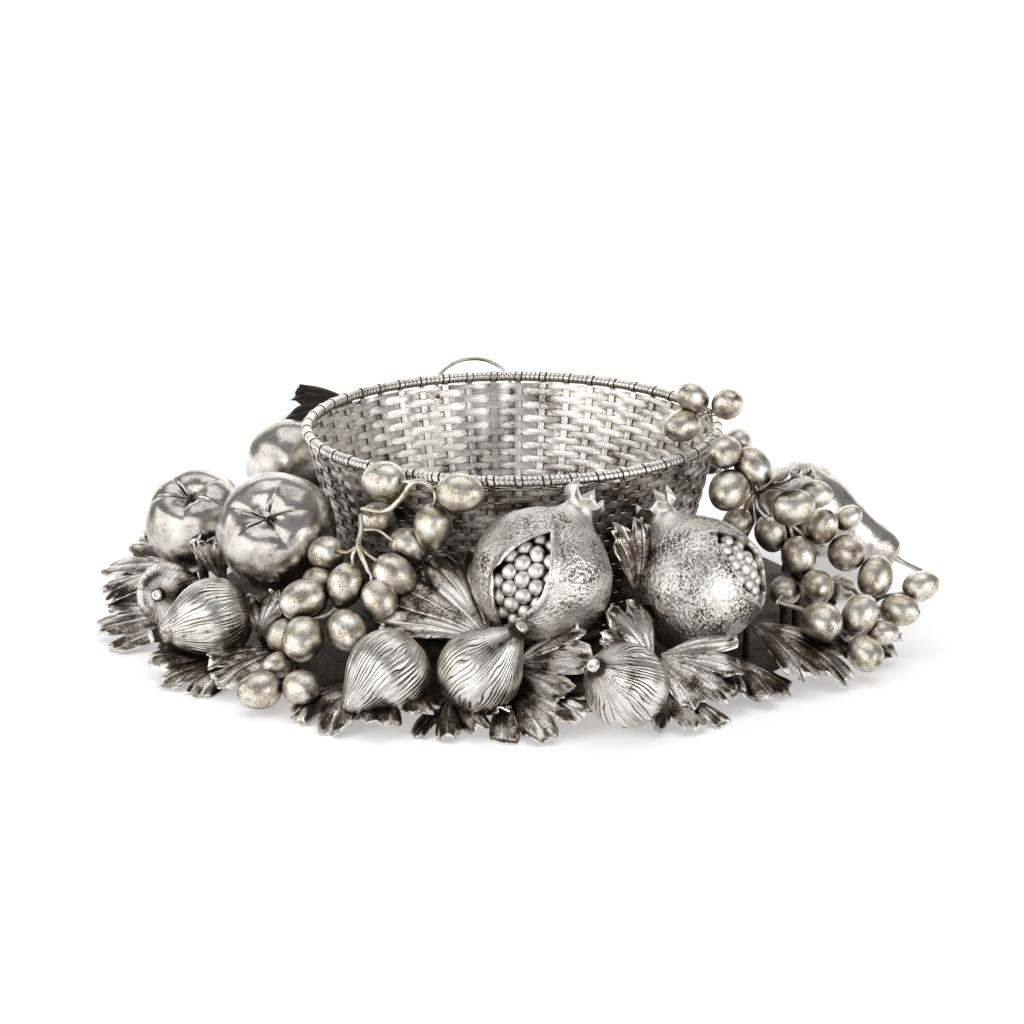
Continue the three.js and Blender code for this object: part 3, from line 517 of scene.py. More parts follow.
def silver(name, face, dull, marks, polish, grit, streaks=None):
    """A silver finish, with its sizes in millimetres. face and dull are its two colours. marks say how
    the oxide and the painted shade gather: the oxide's weight in hollows, the weight of painted shade
    where nearby surfaces shut a spot in, the oxide's weight in patches, the patches' size, the specks'
    share and the specks' size. polish is the roughness bare and under oxide, grit is the size and depth
    of the surface, and streaks are the number and depth of the lines drawn across it."""
    colours = finishes()
    in_hollows, in_shade, in_patches, patch, speck_share, speck = marks
    pit, relief = grit
    material = bpy.data.materials.new(name)
    material.use_nodes = True
    tree = material.node_tree
    tree.nodes.clear()
    spot = add(tree, "TexCoord", output="Object")
    depth = add(tree, "Attribute", {"attribute_name": "hollow"}, output="Fac")
    cloud, fleck, pits = [
        add(tree, "TexNoise", {"Scale": 1 / (lump * MM), "Detail": detail, "Roughness": roughness},
            {"Vector": spot}, "Fac")
        for lump, detail, roughness in ((patch, 4, 0.65), (speck, 3, 0.7), (pit, 5, 0.6))
    ]

    # How much oxide and painted shade lie on a spot: oxide in hollows with ragged edges, in patches
    # and as specks, which gather where the patches are, and painted shade where nearby surfaces shut it in
    torn = add(tree, "MapRange", {"From Min": 0.3, "From Max": 0.7, "To Min": -0.22, "To Max": 0.22},
               {"Value": fleck})
    ragged = add(tree, "Math", {"operation": "ADD"}, {0: depth, 1: torn})
    thick = add(tree, "MapRange", {"From Min": 0.5, "From Max": 0.68}, {"Value": cloud})
    # Painted shade: the occlusion node darkens every spot that nearby surfaces shut in, in creases, between
    # parts and under them, with the oxide colours
    open_sky = add(tree, "AmbientOcclusion", {"Distance": 9 * MM, "samples": 6}, output="AO")
    shut = add(tree, "MapRange", {"From Min": 0.75, "From Max": 0.15}, {"Value": open_sky})
    rare = 0.72 - 0.3 * speck_share
    specks = add(tree, "MapRange", {"From Min": rare, "From Max": rare + 0.04}, {"Value": fleck})
    dense = add(tree, "MapRange", {"From Min": 0.4, "From Max": 0.6, "To Min": 0.25, "To Max": 1},
                {"Value": cloud})
    gathered = add(tree, "Math", {"operation": "MULTIPLY"}, {0: specks, 1: dense})
    parts = [(ragged, in_hollows), (thick, in_patches), (shut, in_shade), (gathered, speck_share)]
    sunk, patches, shade, dotted = [
        add(tree, "Math", {"operation": "MULTIPLY", 1: weight}, {0: part}) for part, weight in parts
    ]
    broad = add(tree, "Math", {"operation": "ADD"}, {0: sunk, 1: patches})
    fine = add(tree, "Math", {"operation": "ADD"}, {0: shade, 1: dotted})
    oxide_and_painted_shade = add(tree, "Math", {"operation": "ADD", "use_clamp": True}, {0: broad, 1: fine})

    # Its colour turns from silver to brown and then to oxide as that amount of oxide and painted shade grows.
    coats = [(colours.brown, 0.05, 0.5), (colours.oxide, 0.35, 0.95)]
    lively = add(tree, "MapRange", {"From Min": 0.35, "From Max": 0.62}, {"Value": cloud})
    coated = add(tree, "Mix", {"data_type": "RGBA", 6: face, 7: dull}, {0: lively}, 2)
    for coat, thin, full in coats:
        share = add(tree, "MapRange", {"From Min": thin, "From Max": full}, {"Value": oxide_and_painted_shade})
        coated = add(tree, "Mix", {"data_type": "RGBA", 7: coat}, {0: share, 6: coated}, 2)

    dulled = add(tree, "MapRange", {"To Min": polish[0], "To Max": polish[1]}, {"Value": oxide_and_painted_shade})
    wiped = add(tree, "MapRange", {"From Min": 0.3, "From Max": 0.7, "To Min": -0.03, "To Max": 0.05},
                {"Value": fleck})
    rough = add(tree, "Math", {"operation": "ADD", "use_clamp": True}, {0: dulled, 1: wiped})
    bump = add(tree, "Bump", {"Strength": 1, "Distance": relief * MM}, {"Height": pits})
    if streaks:
        count, cut = streaks
        chart = add(tree, "TexCoord", output="UV")
        drawn = add(tree, "Mapping", {"Scale": (count, 3, 1)}, {"Vector": chart})
        lines = add(tree, "TexNoise", {"Scale": 1, "Detail": 3, "Roughness": 0.6}, {"Vector": drawn}, "Fac")
        bump = add(tree, "Bump", {"Strength": 1, "Distance": cut * MM}, {"Height": lines, "Normal": bump})
        low = add(tree, "MapRange", {"From Min": 0.55, "From Max": 0.3, "To Max": 0.55}, {"Value": lines})
        coated = add(tree, "Mix", {"data_type": "RGBA", "blend_type": "MULTIPLY", 7: colours.brown},
                     {0: low, 6: coated}, 2)
    shader = add(tree, "BsdfPrincipled", {"Metallic": 1},
                 {"Base Color": coated, "Roughness": rough, "Normal": bump})
    add(tree, "OutputMaterial", (), {"Surface": shader})
    return material


def finish_named(name):
    """The finish of that name, made when it is first asked for."""
    if name in bpy.data.materials:
        return bpy.data.materials[name]
    c = finishes()
    # Two colours, then marks, polish, grit and any streaks, as silver() takes them
    recipes = {
        # Rolled strip, woven by hand: creamy where handled, brown where the strips cross, partly painted
        # shade where they dive under each other
        "rolled_silver_strip": (
            c.bright, c.polished, (1.0, 0.7, 0.25, 12, 0.3, 0.9), (0.28, 0.5), (0.7, 0.05)),
        # The same strip wound tight: evenly worn on top, dark between the turns
        "wound_silver_strip": (
            c.bright, c.polished, (1.0, 0.8, 0.05, 12, 0.25, 0.8), (0.26, 0.5), (0.6, 0.05)),
        # Sheet raised and polished: broad soft reflections, a little oxide in the creases
        "polished_silver_sheet": (
            c.polished, c.worn, (0.9, 0.65, 0.3, 16, 0.25, 1.0), (0.19, 0.42), (5, 0.25)),
        # Cast and scratch-brushed: satin, warm, with fine brown specks
        "satin_cast_silver": (
            c.bright, c.warm, (0.9, 0.7, 0.25, 7, 0.5, 0.7), (0.32, 0.48), (0.9, 0.1)),
        # Cast beads, burnished pale: creamy, with painted shade where they crowd together, which draws a thin
        # dark line between them
        "burnished_cast_seeds": (
            c.bright, c.polished, (0.6, 0.9, 0.1, 9, 0.2, 0.7), (0.4, 0.5), (0.9, 0.08)),
        # Matted with punches: worm-like pits, grey-brown in the pits
        "punched_silver": (
            c.bright, c.polished, (1.1, 0.6, 0.35, 16, 0.2, 0.8), (0.34, 0.5), (1.3, 0.2)),
        # Chased and oxidised: bright ridges and edges, black-brown valleys
        "chased_oxidised_silver": (
            c.bright, c.polished, (1.45, 0.9, 0.55, 12, 0.2, 0.8), (0.24, 0.45), (1.0, 0.07), (60, 0.08)),
        # Plate left in its oxide, dark and dull: painted near-black so that it reads as deep shadow where it
        # shows between the leaves
        "plate_dark_as_shadow": (
            c.brown, c.oxide, (0.8, 0.9, 1.2, 20, 0.6, 1.5), (0.5, 0.65), (1.2, 0.08)),
    }
    return silver(name, *recipes[name])


# The basket


def wall_line():
    """The middle of the wall from its foot up: distance along it, radius, height and outward normal."""
    sizes = basket()
    share = np.linspace(0, 1, 800) ** 1.7  # finest at the foot, where the wall bends most
    foot = sizes.foot_radius - 1.1 * MM
    radius = foot + (sizes.rim_radius - foot) * share**sizes.wall_belly
    height = sizes.foot_height + (sizes.wall_top - sizes.foot_height) * share
    run = np.concatenate([[0], np.cumsum(np.hypot(np.diff(radius), np.diff(height)))])
    slope_r, slope_z = np.gradient(radius, run), np.gradient(height, run)
    return run, radius, height, slope_z, -slope_r


def strip_wave(stakes, turn):
    """Over one stake and under the next, flat where it crosses them."""
    wave = np.cos(stakes * turn / 2)
    return np.sign(wave) * np.abs(wave) ** 0.6


def weave(name, stakes, rows, steps, place):
    """A strip of grid wound in a spiral over and under the stakes, with that many steps to a stake.
    place puts (turn, across) on the weave. The wave is kept as the strip's hollow value, and its edges
    are marked by EDGE_MARK more."""
    strip = added(bpy.ops.mesh.primitive_grid_add, name,
                  x_subdivisions=rows * stakes * steps, y_subdivisions=4, size=1)
    flat = points(strip)
    turn, across = (flat[:, 0] + 0.5) * rows * 2 * math.pi, flat[:, 1] * 2
    mould(strip, lambda _: place(turn, across))
    stain_and_shade(strip, strip_wave(stakes, turn) + EDGE_MARK * (np.abs(across) > 0.9))
    return strip


class WeaveWall(bpy.types.Operator):
    """Weaves the basket's wall: upright stakes, and one long strip in and out of them"""

    bl_idname = "centrepiece.weave_wall"
    bl_label = "Weave the wall"

    def execute(self, context):
        sizes = basket()
        run, radius, height, out_r, out_z = wall_line()
        stake_thickness, crown, slack = 0.5 * MM, 0.12 * MM, 0.05 * MM
        least, lean = 0.4 * MM, 0.22 * MM  # the strip's width at the end of its taper, and its tilt
        lift = (sizes.strip_thickness + stake_thickness) / 2 + slack
        first = 1.8 * MM  # from the wall's foot to the middle of the lowest row
        top = run[-1] - 2.0 * MM  # the stakes' tops show bare under the rim roll
        rows = round((top - first) / sizes.strip_pitch) + 1
        pitch = (top - first - sizes.strip_width / 2) / (rows - 1)

        def on_wall(distance, turn, off):
            """Points at that distance up the wall and turn round it, off its middle."""
            r = np.interp(distance, run, radius) + off * np.interp(distance, run, out_r)
            return around(r, turn, np.interp(distance, run, height) + off * np.interp(distance, run, out_z))

        def weaver(turn, across):
            # The strip is cut to a taper over its last turn, so the top row lies level. Where it
            # crosses a stake, it leans a little one way or the other.
            centre = first + turn / (2 * math.pi) * pitch
            high = np.minimum(centre + sizes.strip_width / 2, top)
            low = np.minimum(centre - sizes.strip_width / 2, top - least)
            distance = (low + high) / 2 + across * (high - low) / 2
            wave = strip_wave(sizes.stakes, turn)
            pairs = np.column_stack([turn * sizes.stakes / 13, 0 * turn, 0 * turn])  # about two stakes
            tilt = lean * grain(pairs, 1.0) * across * np.abs(wave)
            return on_wall(distance, turn, lift * wave + crown * (1 - across**2) * np.sign(wave) + tilt)

        def upright(p):
            distance = (p[:, 1] + 0.5) * run[-1]
            turn = p[:, 0] * sizes.stake_width / np.interp(distance, run, radius)
            return on_wall(distance, turn, crown * (1 - (2 * p[:, 0]) ** 2))

        strip = weave("weaver", sizes.stakes, rows, 6, weaver)
        use(strip, "SOLIDIFY", thickness=sizes.strip_thickness, offset=0, use_even_offset=True)
        stake = added(bpy.ops.mesh.primitive_grid_add, "stake", x_subdivisions=2, y_subdivisions=36, size=1)
        mould(stake, upright)
        stain_and_shade(stake, 0)
        use(stake, "SOLIDIFY", thickness=stake_thickness, offset=0)
        wall = join([strip, *spaced_round(stake, sizes.stakes)], "woven_wall")

        # Painted shade where the strip dives under a stake, and dark along its edges, where the rows meet.
        # The outside faces are painted darker and the inside faces lighter, as the light falls on them.
        p, n = points(wall), normals(wall)
        outside = (p[:, 0] * n[:, 0] + p[:, 1] * n[:, 1]) / np.hypot(p[:, 0], p[:, 1])
        kept = stains_and_shade(wall)
        at_edge = kept > EDGE_MARK / 2
        # Painted shade: darkest where the strip dives under a stake
        low = np.clip(-outside * (kept - EDGE_MARK * at_edge), -0.3, 1) ** 3
        # Painted light and shade: outside faces darker, inside faces lighter; the grain adds clouds of
        # tarnish
        tarnish = np.where(outside > 0, 0.22, -0.1) + 0.4 * grain(p, 14 * MM)
        stain_and_shade(wall, np.clip(tarnish + 0.42 * low + 0.22 * at_edge, -0.5, 1))
        finish(wall, "basket_wall", "rolled_silver_strip")
        return {"FINISHED"}


class WeaveFloor(bpy.types.Operator):
    """Weaves the basket's floor on spokes and sets the ring that it stands on"""

    bl_idname = "centrepiece.weave_floor"
    bl_label = "Weave the floor and foot"

    def execute(self, context):
        sizes = basket()
        middle = sizes.foot_height + 1 * MM
        hub, edge = 13 * MM, sizes.foot_radius - 2.4 * MM
        spokes, lift = 25, 0.5 * MM
        rows = int((edge - hub) / sizes.strip_pitch)

        def laid(turn, across):
            wound = (turn / (2 * math.pi) + 0.5) * (edge - hub) / (rows + 1)
            return around(hub + wound + across * sizes.strip_width / 2, turn,
                          middle + lift * strip_wave(spokes, turn))

        strip = weave("floor_weaver", spokes, rows, 8, laid)
        use(strip, "SOLIDIFY", thickness=sizes.strip_thickness, offset=0)
        disc = added(bpy.ops.mesh.primitive_cylinder_add, "floor_hub", vertices=64, radius=hub,
                     depth=1.6 * MM, location=(0, 0, middle))
        stain_and_shade(disc, 0)
        use(disc, "BEVEL", width=0.4 * MM, segments=2)
        spoke = added(bpy.ops.mesh.primitive_cube_add, "spoke", size=1,
                      location=((hub + edge) / 2, 0, middle), scale=(edge - hub, 3 * MM, 0.5 * MM))
        bpy.ops.object.transform_apply()
        spoke_pieces = spaced_round(spoke, spokes)
        hoop = added(bpy.ops.mesh.primitive_torus_add, "floor_hoop", major_radius=edge,
                     minor_radius=0.9 * MM, major_segments=196, minor_segments=10,
                     location=(0, 0, middle))
        bpy.ops.object.transform_apply()
        floor = join([strip, disc, hoop, *spoke_pieces], "woven_floor")
        stain_and_shade(floor, np.clip(stains_and_shade(floor), -0.1, 1) * 0.3 + 0.1 + 0.4 * grain(points(floor), 16 * MM))
        finish(floor, "basket_floor", "rolled_silver_strip")

        # The ring under the floor: a torus with its section squared off
        low = sizes.plate_thickness + CLEARANCE
        ring_middle = sizes.ring_radius - sizes.ring_width / 2
        ring = added(bpy.ops.mesh.primitive_torus_add, "foot_ring", major_radius=ring_middle,
                     minor_radius=sizes.ring_width / 2, major_segments=160, minor_segments=32)

        def squared(p):
            section = np.arctan2(p[:, 2], np.hypot(p[:, 0], p[:, 1]) - ring_middle)
            side, rise = (np.sign(v) * np.abs(v) ** 0.3 for v in (np.cos(section), np.sin(section)))
            return around(ring_middle + side * sizes.ring_width / 2, np.arctan2(p[:, 1], p[:, 0]),
                          low + (1 + rise) * sizes.ring_height / 2)

        mould(ring, squared)
        close_up(ring)
        stain_and_shade(ring, 0.2)
        finish(ring, "basket_foot_ring", "rolled_silver_strip")
        return {"FINISHED"}


class WindRim(bpy.types.Operator):
    """Winds the rim roll: a hoop, strip wound over it, and the stake ends turned over that"""

    bl_idname = "centrepiece.wind_rim"
    bl_label = "Wind the rim"

    def execute(self, context):
        sizes = basket()
        hoop = added(bpy.ops.mesh.primitive_torus_add, "rim_hoop", major_radius=sizes.rim_radius,
                     minor_radius=1.36 * MM, major_segments=128, minor_segments=12,
                     location=(0, 0, sizes.rim_height))
        stain_and_shade(hoop, 0)
        finish(hoop, "rim_core_hoop", "polished_silver_sheet")

        # Between two stake ends lie four turns of strip. share runs from -0.5 to 0.5 about a stake end,
        # and cell from 0 to 1 across each turn.
        roll = added(bpy.ops.mesh.primitive_grid_add, "wound_rim",
                     x_subdivisions=sizes.stakes * 64, y_subdivisions=14, size=1)
        turn, round_turn = points(roll)[:, :2].T * 2 * math.pi
        spacing = 2 * math.pi * sizes.rim_radius / sizes.stakes
        band, wraps, slant = sizes.wrap_band / spacing, 4, 0.035 * np.sin(round_turn)
        share = (turn / (2 * math.pi) * sizes.stakes + 0.5 + slant) % 1 - 0.5
        in_band = np.abs(share) < band / 2
        cell = np.where(in_band, share / band + 0.5,
                        ((np.abs(share) - band / 2) / (0.5 - band / 2) * wraps / 2) % 1)
        swell = 1 - np.abs(2 * cell - 1) ** 5
        number = np.floor((turn / (2 * math.pi) + 0.5) * sizes.stakes * (wraps + 1))
        number = number % (sizes.stakes * (wraps + 1))
        # The stake ends stand over the strip, grooves part the turns, and no two turns are alike.
        uneven = np.array([random.Random(int(k)).uniform(-0.06, 0.06) for k in number]) * MM
        lift = np.where(in_band, 0.15 * MM, -0.2 * MM) + (swell - 1) * 0.38 * MM + uneven * swell
        minor = sizes.rim_roll + lift
        mould(roll, lambda _: around(sizes.rim_radius + minor * np.cos(round_turn), turn,
                                     sizes.rim_height + minor * np.sin(round_turn)))
        at_band = np.exp(-(((np.abs(share) - band / 2) * spacing / (0.4 * MM)) ** 2))
        lines = np.abs(2 * cell - 1) ** 6 + at_band
        stain_and_shade(roll, np.clip(0.95 * lines + 0.4 * grain(points(roll), 25 * MM) - 0.2, -0.4, 1))
        close_up(roll)
        finish(roll, "rim_binding", "wound_silver_strip")
        return {"FINISHED"}


# The wreath


class RaiseApples(bpy.types.Operator):
    """Raises the apples: soft lobes about a deep stem hollow, polished"""

    bl_idname = "centrepiece.raise_apples"
    bl_label = "Raise the apples"

    def execute(self, context):
        for number, (node, size, place, axis, lobes) in enumerate(APPLES):
            radius = getattr(wreath(), size)

            def lobed(out, up, turn, share):
                # Creases run out of the stem hollow and fade towards the waist.
                wander = turn + 0.22 * np.sin(2 * turn + number) + 0.6 * number
                crease = (1 - np.abs(np.sin(lobes * wander / 2))) ** 3.4
                near_stem = np.clip((share - 0.72) / 0.2, 0, 1) ** 1.3
                near_stem = near_stem * np.clip((1.04 - share) / 0.12, 0, 1)
                near_blossom = np.clip((0.22 - share) / 0.2, 0, 1)
                sink = crease * (0.1 * near_stem + 0.06 * near_blossom)
                swell = 1 - 0.02 * np.cos(lobes * wander) * np.clip(share * 1.6, 0, 1)
                return out * (1 - sink) * swell, up - crease * near_stem * 0.085 * radius

            body = turned(node, APPLE, radius, 144, 100, lobed)
            foot = 0.64 * radius
            stem = wires("stem", [[
                ((0, 0, foot), 1.5 * MM), ((0.4 * MM, 0.2 * MM, foot + 3 * MM), 1.2 * MM),
                ((1.2 * MM, 0.6 * MM, foot + 5.5 * MM), 1.6 * MM)]])
            apple = join([body, stem], "silver_" + node)
            apple.data.transform(aimed(axis, at(place)))
            stain_and_shade(apple, 0.5 * np.maximum(hollows(apple, 30, 1.1 * MM), -0.2))
            finish(apple, node, "polished_silver_sheet")
        return {"FINISHED"}


class RaisePears(bpy.types.Operator):
    """Raises the pears and their bent stems"""

    bl_idname = "centrepiece.raise_pears"
    bl_label = "Raise the pears"

    def execute(self, context):
        radius = wreath().pear
        neck = 2.28 * radius

        def uneven(out, up, turn, share):
            return out * (1 + 0.025 * np.cos(3 * turn + 4 * share)), up

        for node, place, axis in PEARS:
            body = turned(node, PEAR, radius, 128, 112, uneven)
            stem = wires("stem", [[
                ((0, 0, neck - 1 * MM), 1.9 * MM), ((0.3 * MM, 0, neck + 6 * MM), 1.25 * MM),
                ((0, 0, neck + 13 * MM), 1.3 * MM), ((0, 0, neck + 16.4 * MM), 1.6 * MM)]])
            pear = join([body, stem], "silver_" + node)
            pear.data.transform(aimed(axis, at(place)))
            stain_and_shade(pear, 0)
            finish(pear, node, "polished_silver_sheet")
        return {"FINISHED"}


class ChaseFigs(bpy.types.Operator):
    """Raises the figs and chases their ribs from the cut stem to the blossom end"""

    bl_idname = "centrepiece.chase_figs"
    bl_label = "Chase the figs"

    def execute(self, context):
        for number, (node, size, place, axis) in enumerate(FIGS):
            radius = getattr(wreath(), size)
            ribs, bite = (50, 0.66 * MM) if size == "fig" else (30, 0.3 * MM)

            def ribbed(out, up, turn, share):
                ring = np.column_stack([np.cos(turn), np.sin(turn), 1.4 * share])
                wander = turn + 0.2 * grain(ring, 0.5, number) + 0.07 * grain(ring, 0.2, number + 9)
                rib = np.abs(np.sin(ribs * wander / 2)) ** 0.55
                uneven = 0.62 + 0.95 * grain(ring, 0.3, number + 5.5)
                reach = np.clip(share / 0.16, 0, 1) * np.clip((0.9 - share) / 0.25, 0, 1)
                depth = bite * reach * np.clip(uneven, 0.1, 1.2)
                lump = 0.025 * radius * grain(ring, 0.9, number + 2.2)
                return np.maximum(out + (rib - 1) * depth + lump * np.clip(out / radius * 2, 0, 1), 0), up

            fig = turned("silver_" + node, FIG, radius, 384, 66, ribbed)
            stem_end = points(fig)[:, 2] > 1.6 * radius
            fig.data.transform(aimed(axis, at(place)))
            clouds = grain(points(fig), 13 * MM, number)
            depth = np.clip(1.1 * hollows(fig, 5, 0.11 * MM) + 0.9 * np.clip(clouds - 0.12, 0, 1), -1, 1)
            stain_and_shade(fig, np.where(stem_end, -0.4, depth))
            finish(fig, node, "chased_oxidised_silver", 80)
        return {"FINISHED"}


def split_frame(middle, facing, along):
    """The split's own axes: across it, along it, and out of the fruit."""
    out = Vector(facing).normalized()
    across = Vector(along).cross(out).normalized()
    return Matrix.Translation(middle) @ Matrix((across, out.cross(across), out)).transposed().to_4x4()


def split_edge(y, side):
    """Half the split's width at a distance along it, on the left or right side, with a torn notch."""
    sizes = wreath()
    half = sizes.split_length / 2
    bow = sizes.split_width / 2 * np.maximum(1 - (y / half) ** 2, 0)
    notch = 2.6 * MM * np.maximum(1 - np.abs(y - side * 3 * MM) / (5 * MM), 0)
    return bow + (notch if side < 0 else -0.2 * notch)


class RaisePomegranates(bpy.types.Operator):
    """Raises the pomegranates: punched husks with crowns, two of them split over their seeds"""

    bl_idname = "centrepiece.raise_pomegranates"
    bl_label = "Raise the pomegranates"

    def execute(self, context):
        radius = wreath().pomegranate
        for number, (node, place, axis, split) in enumerate(POMEGRANATES):
            middle = at(place)

            def crowned(out, up, turn, share):
                # The husk is a little six-sided, and its crown is drawn out into points.
                facets = 1 + 0.018 * np.cos(6 * turn) * np.clip(1 - np.abs(up) / radius, 0, 1)
                in_crown = np.clip((up / radius - CROWN_START) / CROWN_RISE, 0, 1)
                point = np.abs(((6 * turn / (2 * math.pi) + 0.3 * np.sin(turn + number)) % 1) * 2 - 1)
                tall = 0.62 + 0.38 * np.cos(turn - 2.2 + number)
                rise = in_crown * radius * (0.24 * tall * (1 - point) - 0.1)
                return out * facets * (1 + in_crown * 0.12 * (point - 0.4)), up + rise

            husk = turned("silver_" + node, POMEGRANATE, radius, 352, 240, crowned)
            ball, n = points(husk), normals(husk)
            worms = grain(ball, 1.7 * MM, number) + 0.5 * grain(ball, 1.0 * MM, number + 3)
            # Flat-topped ridges with narrow channels between them
            worms = np.clip(np.abs(worms) * 2.7, 0, 1) - 1
            skin = np.clip((radius * 1.02 - ball[:, 2]) / (0.14 * radius), 0, 1)
            # The punch bit less hard in some places.
            skin *= np.clip(0.95 + 0.5 * grain(ball, 17 * MM, number + 6), 0.75, 1)
            lumps = 0.35 * MM * grain(ball, 11 * MM, number)
            mould(husk, lambda p: p + n * (worms * 0.46 * MM * skin + lumps * skin)[:, None])
            stain_and_shade(husk, np.clip(-worms * skin * 0.75 - 0.28 + 0.4 * grain(ball, 14 * MM, number), -1, 1))
            husk.data.transform(aimed(axis, middle))
            if split:
                self.open_husk(husk, middle, split)
                self.set_seeds(node, middle, split)
                # The torn edge is bare metal.
                x, y, z = carried(points(husk), split_frame(middle, *split).inverted()).T
                torn = (np.abs(np.abs(x) - split_edge(y, 1)) < 1.0 * MM) & (z > 0) & (np.abs(y) < 27 * MM)
                stain_and_shade(husk, np.where(torn, -0.7, stains_and_shade(husk)))
            finish(husk, node, "punched_silver", 80)
        return {"FINISHED"}

    def open_husk(self, husk, middle, split):
        """Draws out the lips of the split, gives the husk its wall and cuts the split through it."""
        sizes = wreath()
        placed = np.array(split_frame(middle, *split))
        inverse = np.linalg.inv(placed)
        half = sizes.split_length / 2

        def lips(p):
            x, y, z = carried(p, inverse).T
            gap = np.abs(x) - split_edge(y, 1)
            lift = 1.7 * MM * np.exp(-((gap / (2.6 * MM)) ** 2)) * (z > 0)
            lift *= np.clip((half * 1.15 - np.abs(y)) / (6 * MM), 0, 1)
            out = (p - np.array(middle)) / np.linalg.norm(p - np.array(middle), axis=1)[:, None]
            return p + out * lift[:, None] + placed[:3, 0] * (np.sign(x) * lift * 0.4)[:, None]

        mould(husk, lips)
        hollow = added(bpy.ops.mesh.primitive_uv_sphere_add, "husk_hollow", segments=96, ring_count=64,
                       location=middle, radius=sizes.pomegranate - HUSK_WALL)
        bpy.ops.object.transform_apply()
        stain_and_shade(hollow, 0.8)
        use(husk, "BOOLEAN", operation="DIFFERENCE", object=hollow, solver="MANIFOLD")
        bpy.data.objects.remove(hollow)
        cut_from, cut_length = 18 * MM, 40 * MM  # from inside the seeds' bed to well past the husk
        cutter = added(bpy.ops.mesh.primitive_grid_add, "split_cutter",
                       x_subdivisions=1, y_subdivisions=40, size=1)

        def oval(p):
            y = p[:, 1] * sizes.split_length * 0.998
            side = np.where(p[:, 0] > 0, 1.0, -1.0)
            x = np.where(side > 0, split_edge(y, 1), -split_edge(y, -1))
            return np.column_stack([x, y, np.full(len(p), cut_from)])

        mould(cutter, oval)
        bpy.ops.object.mode_set(mode="EDIT")
        bpy.ops.mesh.select_all(action="SELECT")
        bpy.ops.mesh.extrude_region_move(TRANSFORM_OT_translate={"value": (0, 0, cut_length)})
        bpy.ops.object.mode_set(mode="OBJECT")
        close_up(cutter)
        cutter.data.transform(split_frame(middle, *split))
        use(husk, "BOOLEAN", operation="DIFFERENCE", object=cutter, solver="MANIFOLD")
        bpy.data.objects.remove(cutter)

    def set_seeds(self, node, middle, split):
        """Seeds in staggered rows on a round membrane inside the split."""
        sizes = wreath()
        placed = split_frame(middle, *split)
        bed = 29.5 * MM  # radius of the round that the seeds' middles lie on
        pitch = 1.77 * sizes.seed
        membrane = added(bpy.ops.mesh.primitive_uv_sphere_add, "membrane", segments=64, ring_count=40,
                         radius=bed - 1.6 * MM, location=middle)
        bpy.ops.object.transform_apply()
        # The membrane is dark: oxide deep in the split, and painted shade in the gaps between the seeds
        stain_and_shade(membrane, 0.9)
        beads = [membrane]
        rng = random.Random(3)
        for row in range(-3, 4):
            y = row * pitch * math.cos(math.radians(30))
            across = 4 if row % 2 else 5
            for i in range(across):
                x = (i - (across - 1) / 2) * pitch
                if abs(x) > sizes.split_width / 2 + 2 * MM:
                    continue
                out = math.sqrt(max(bed**2 - x**2 - y**2, 0))
                bead = added(bpy.ops.mesh.primitive_uv_sphere_add, "seed",
                             segments=20, ring_count=14, radius=1)
                squash = rng.uniform(0.92, 1.06)
                bead.data.transform(
                    placed @ Matrix.Translation((x, y, out)) @ Matrix.Rotation(rng.uniform(0, 3), 4, "Z")
                    @ Matrix.Diagonal((sizes.seed * squash, sizes.seed / squash * 1.08, sizes.seed * 0.9, 1)))
                stain_and_shade(bead, -0.3)
                beads.append(bead)
        seeds = join(beads, "silver_" + node + "_seeds")
        finish(seeds, node + "_seeds", "burnished_cast_seeds")


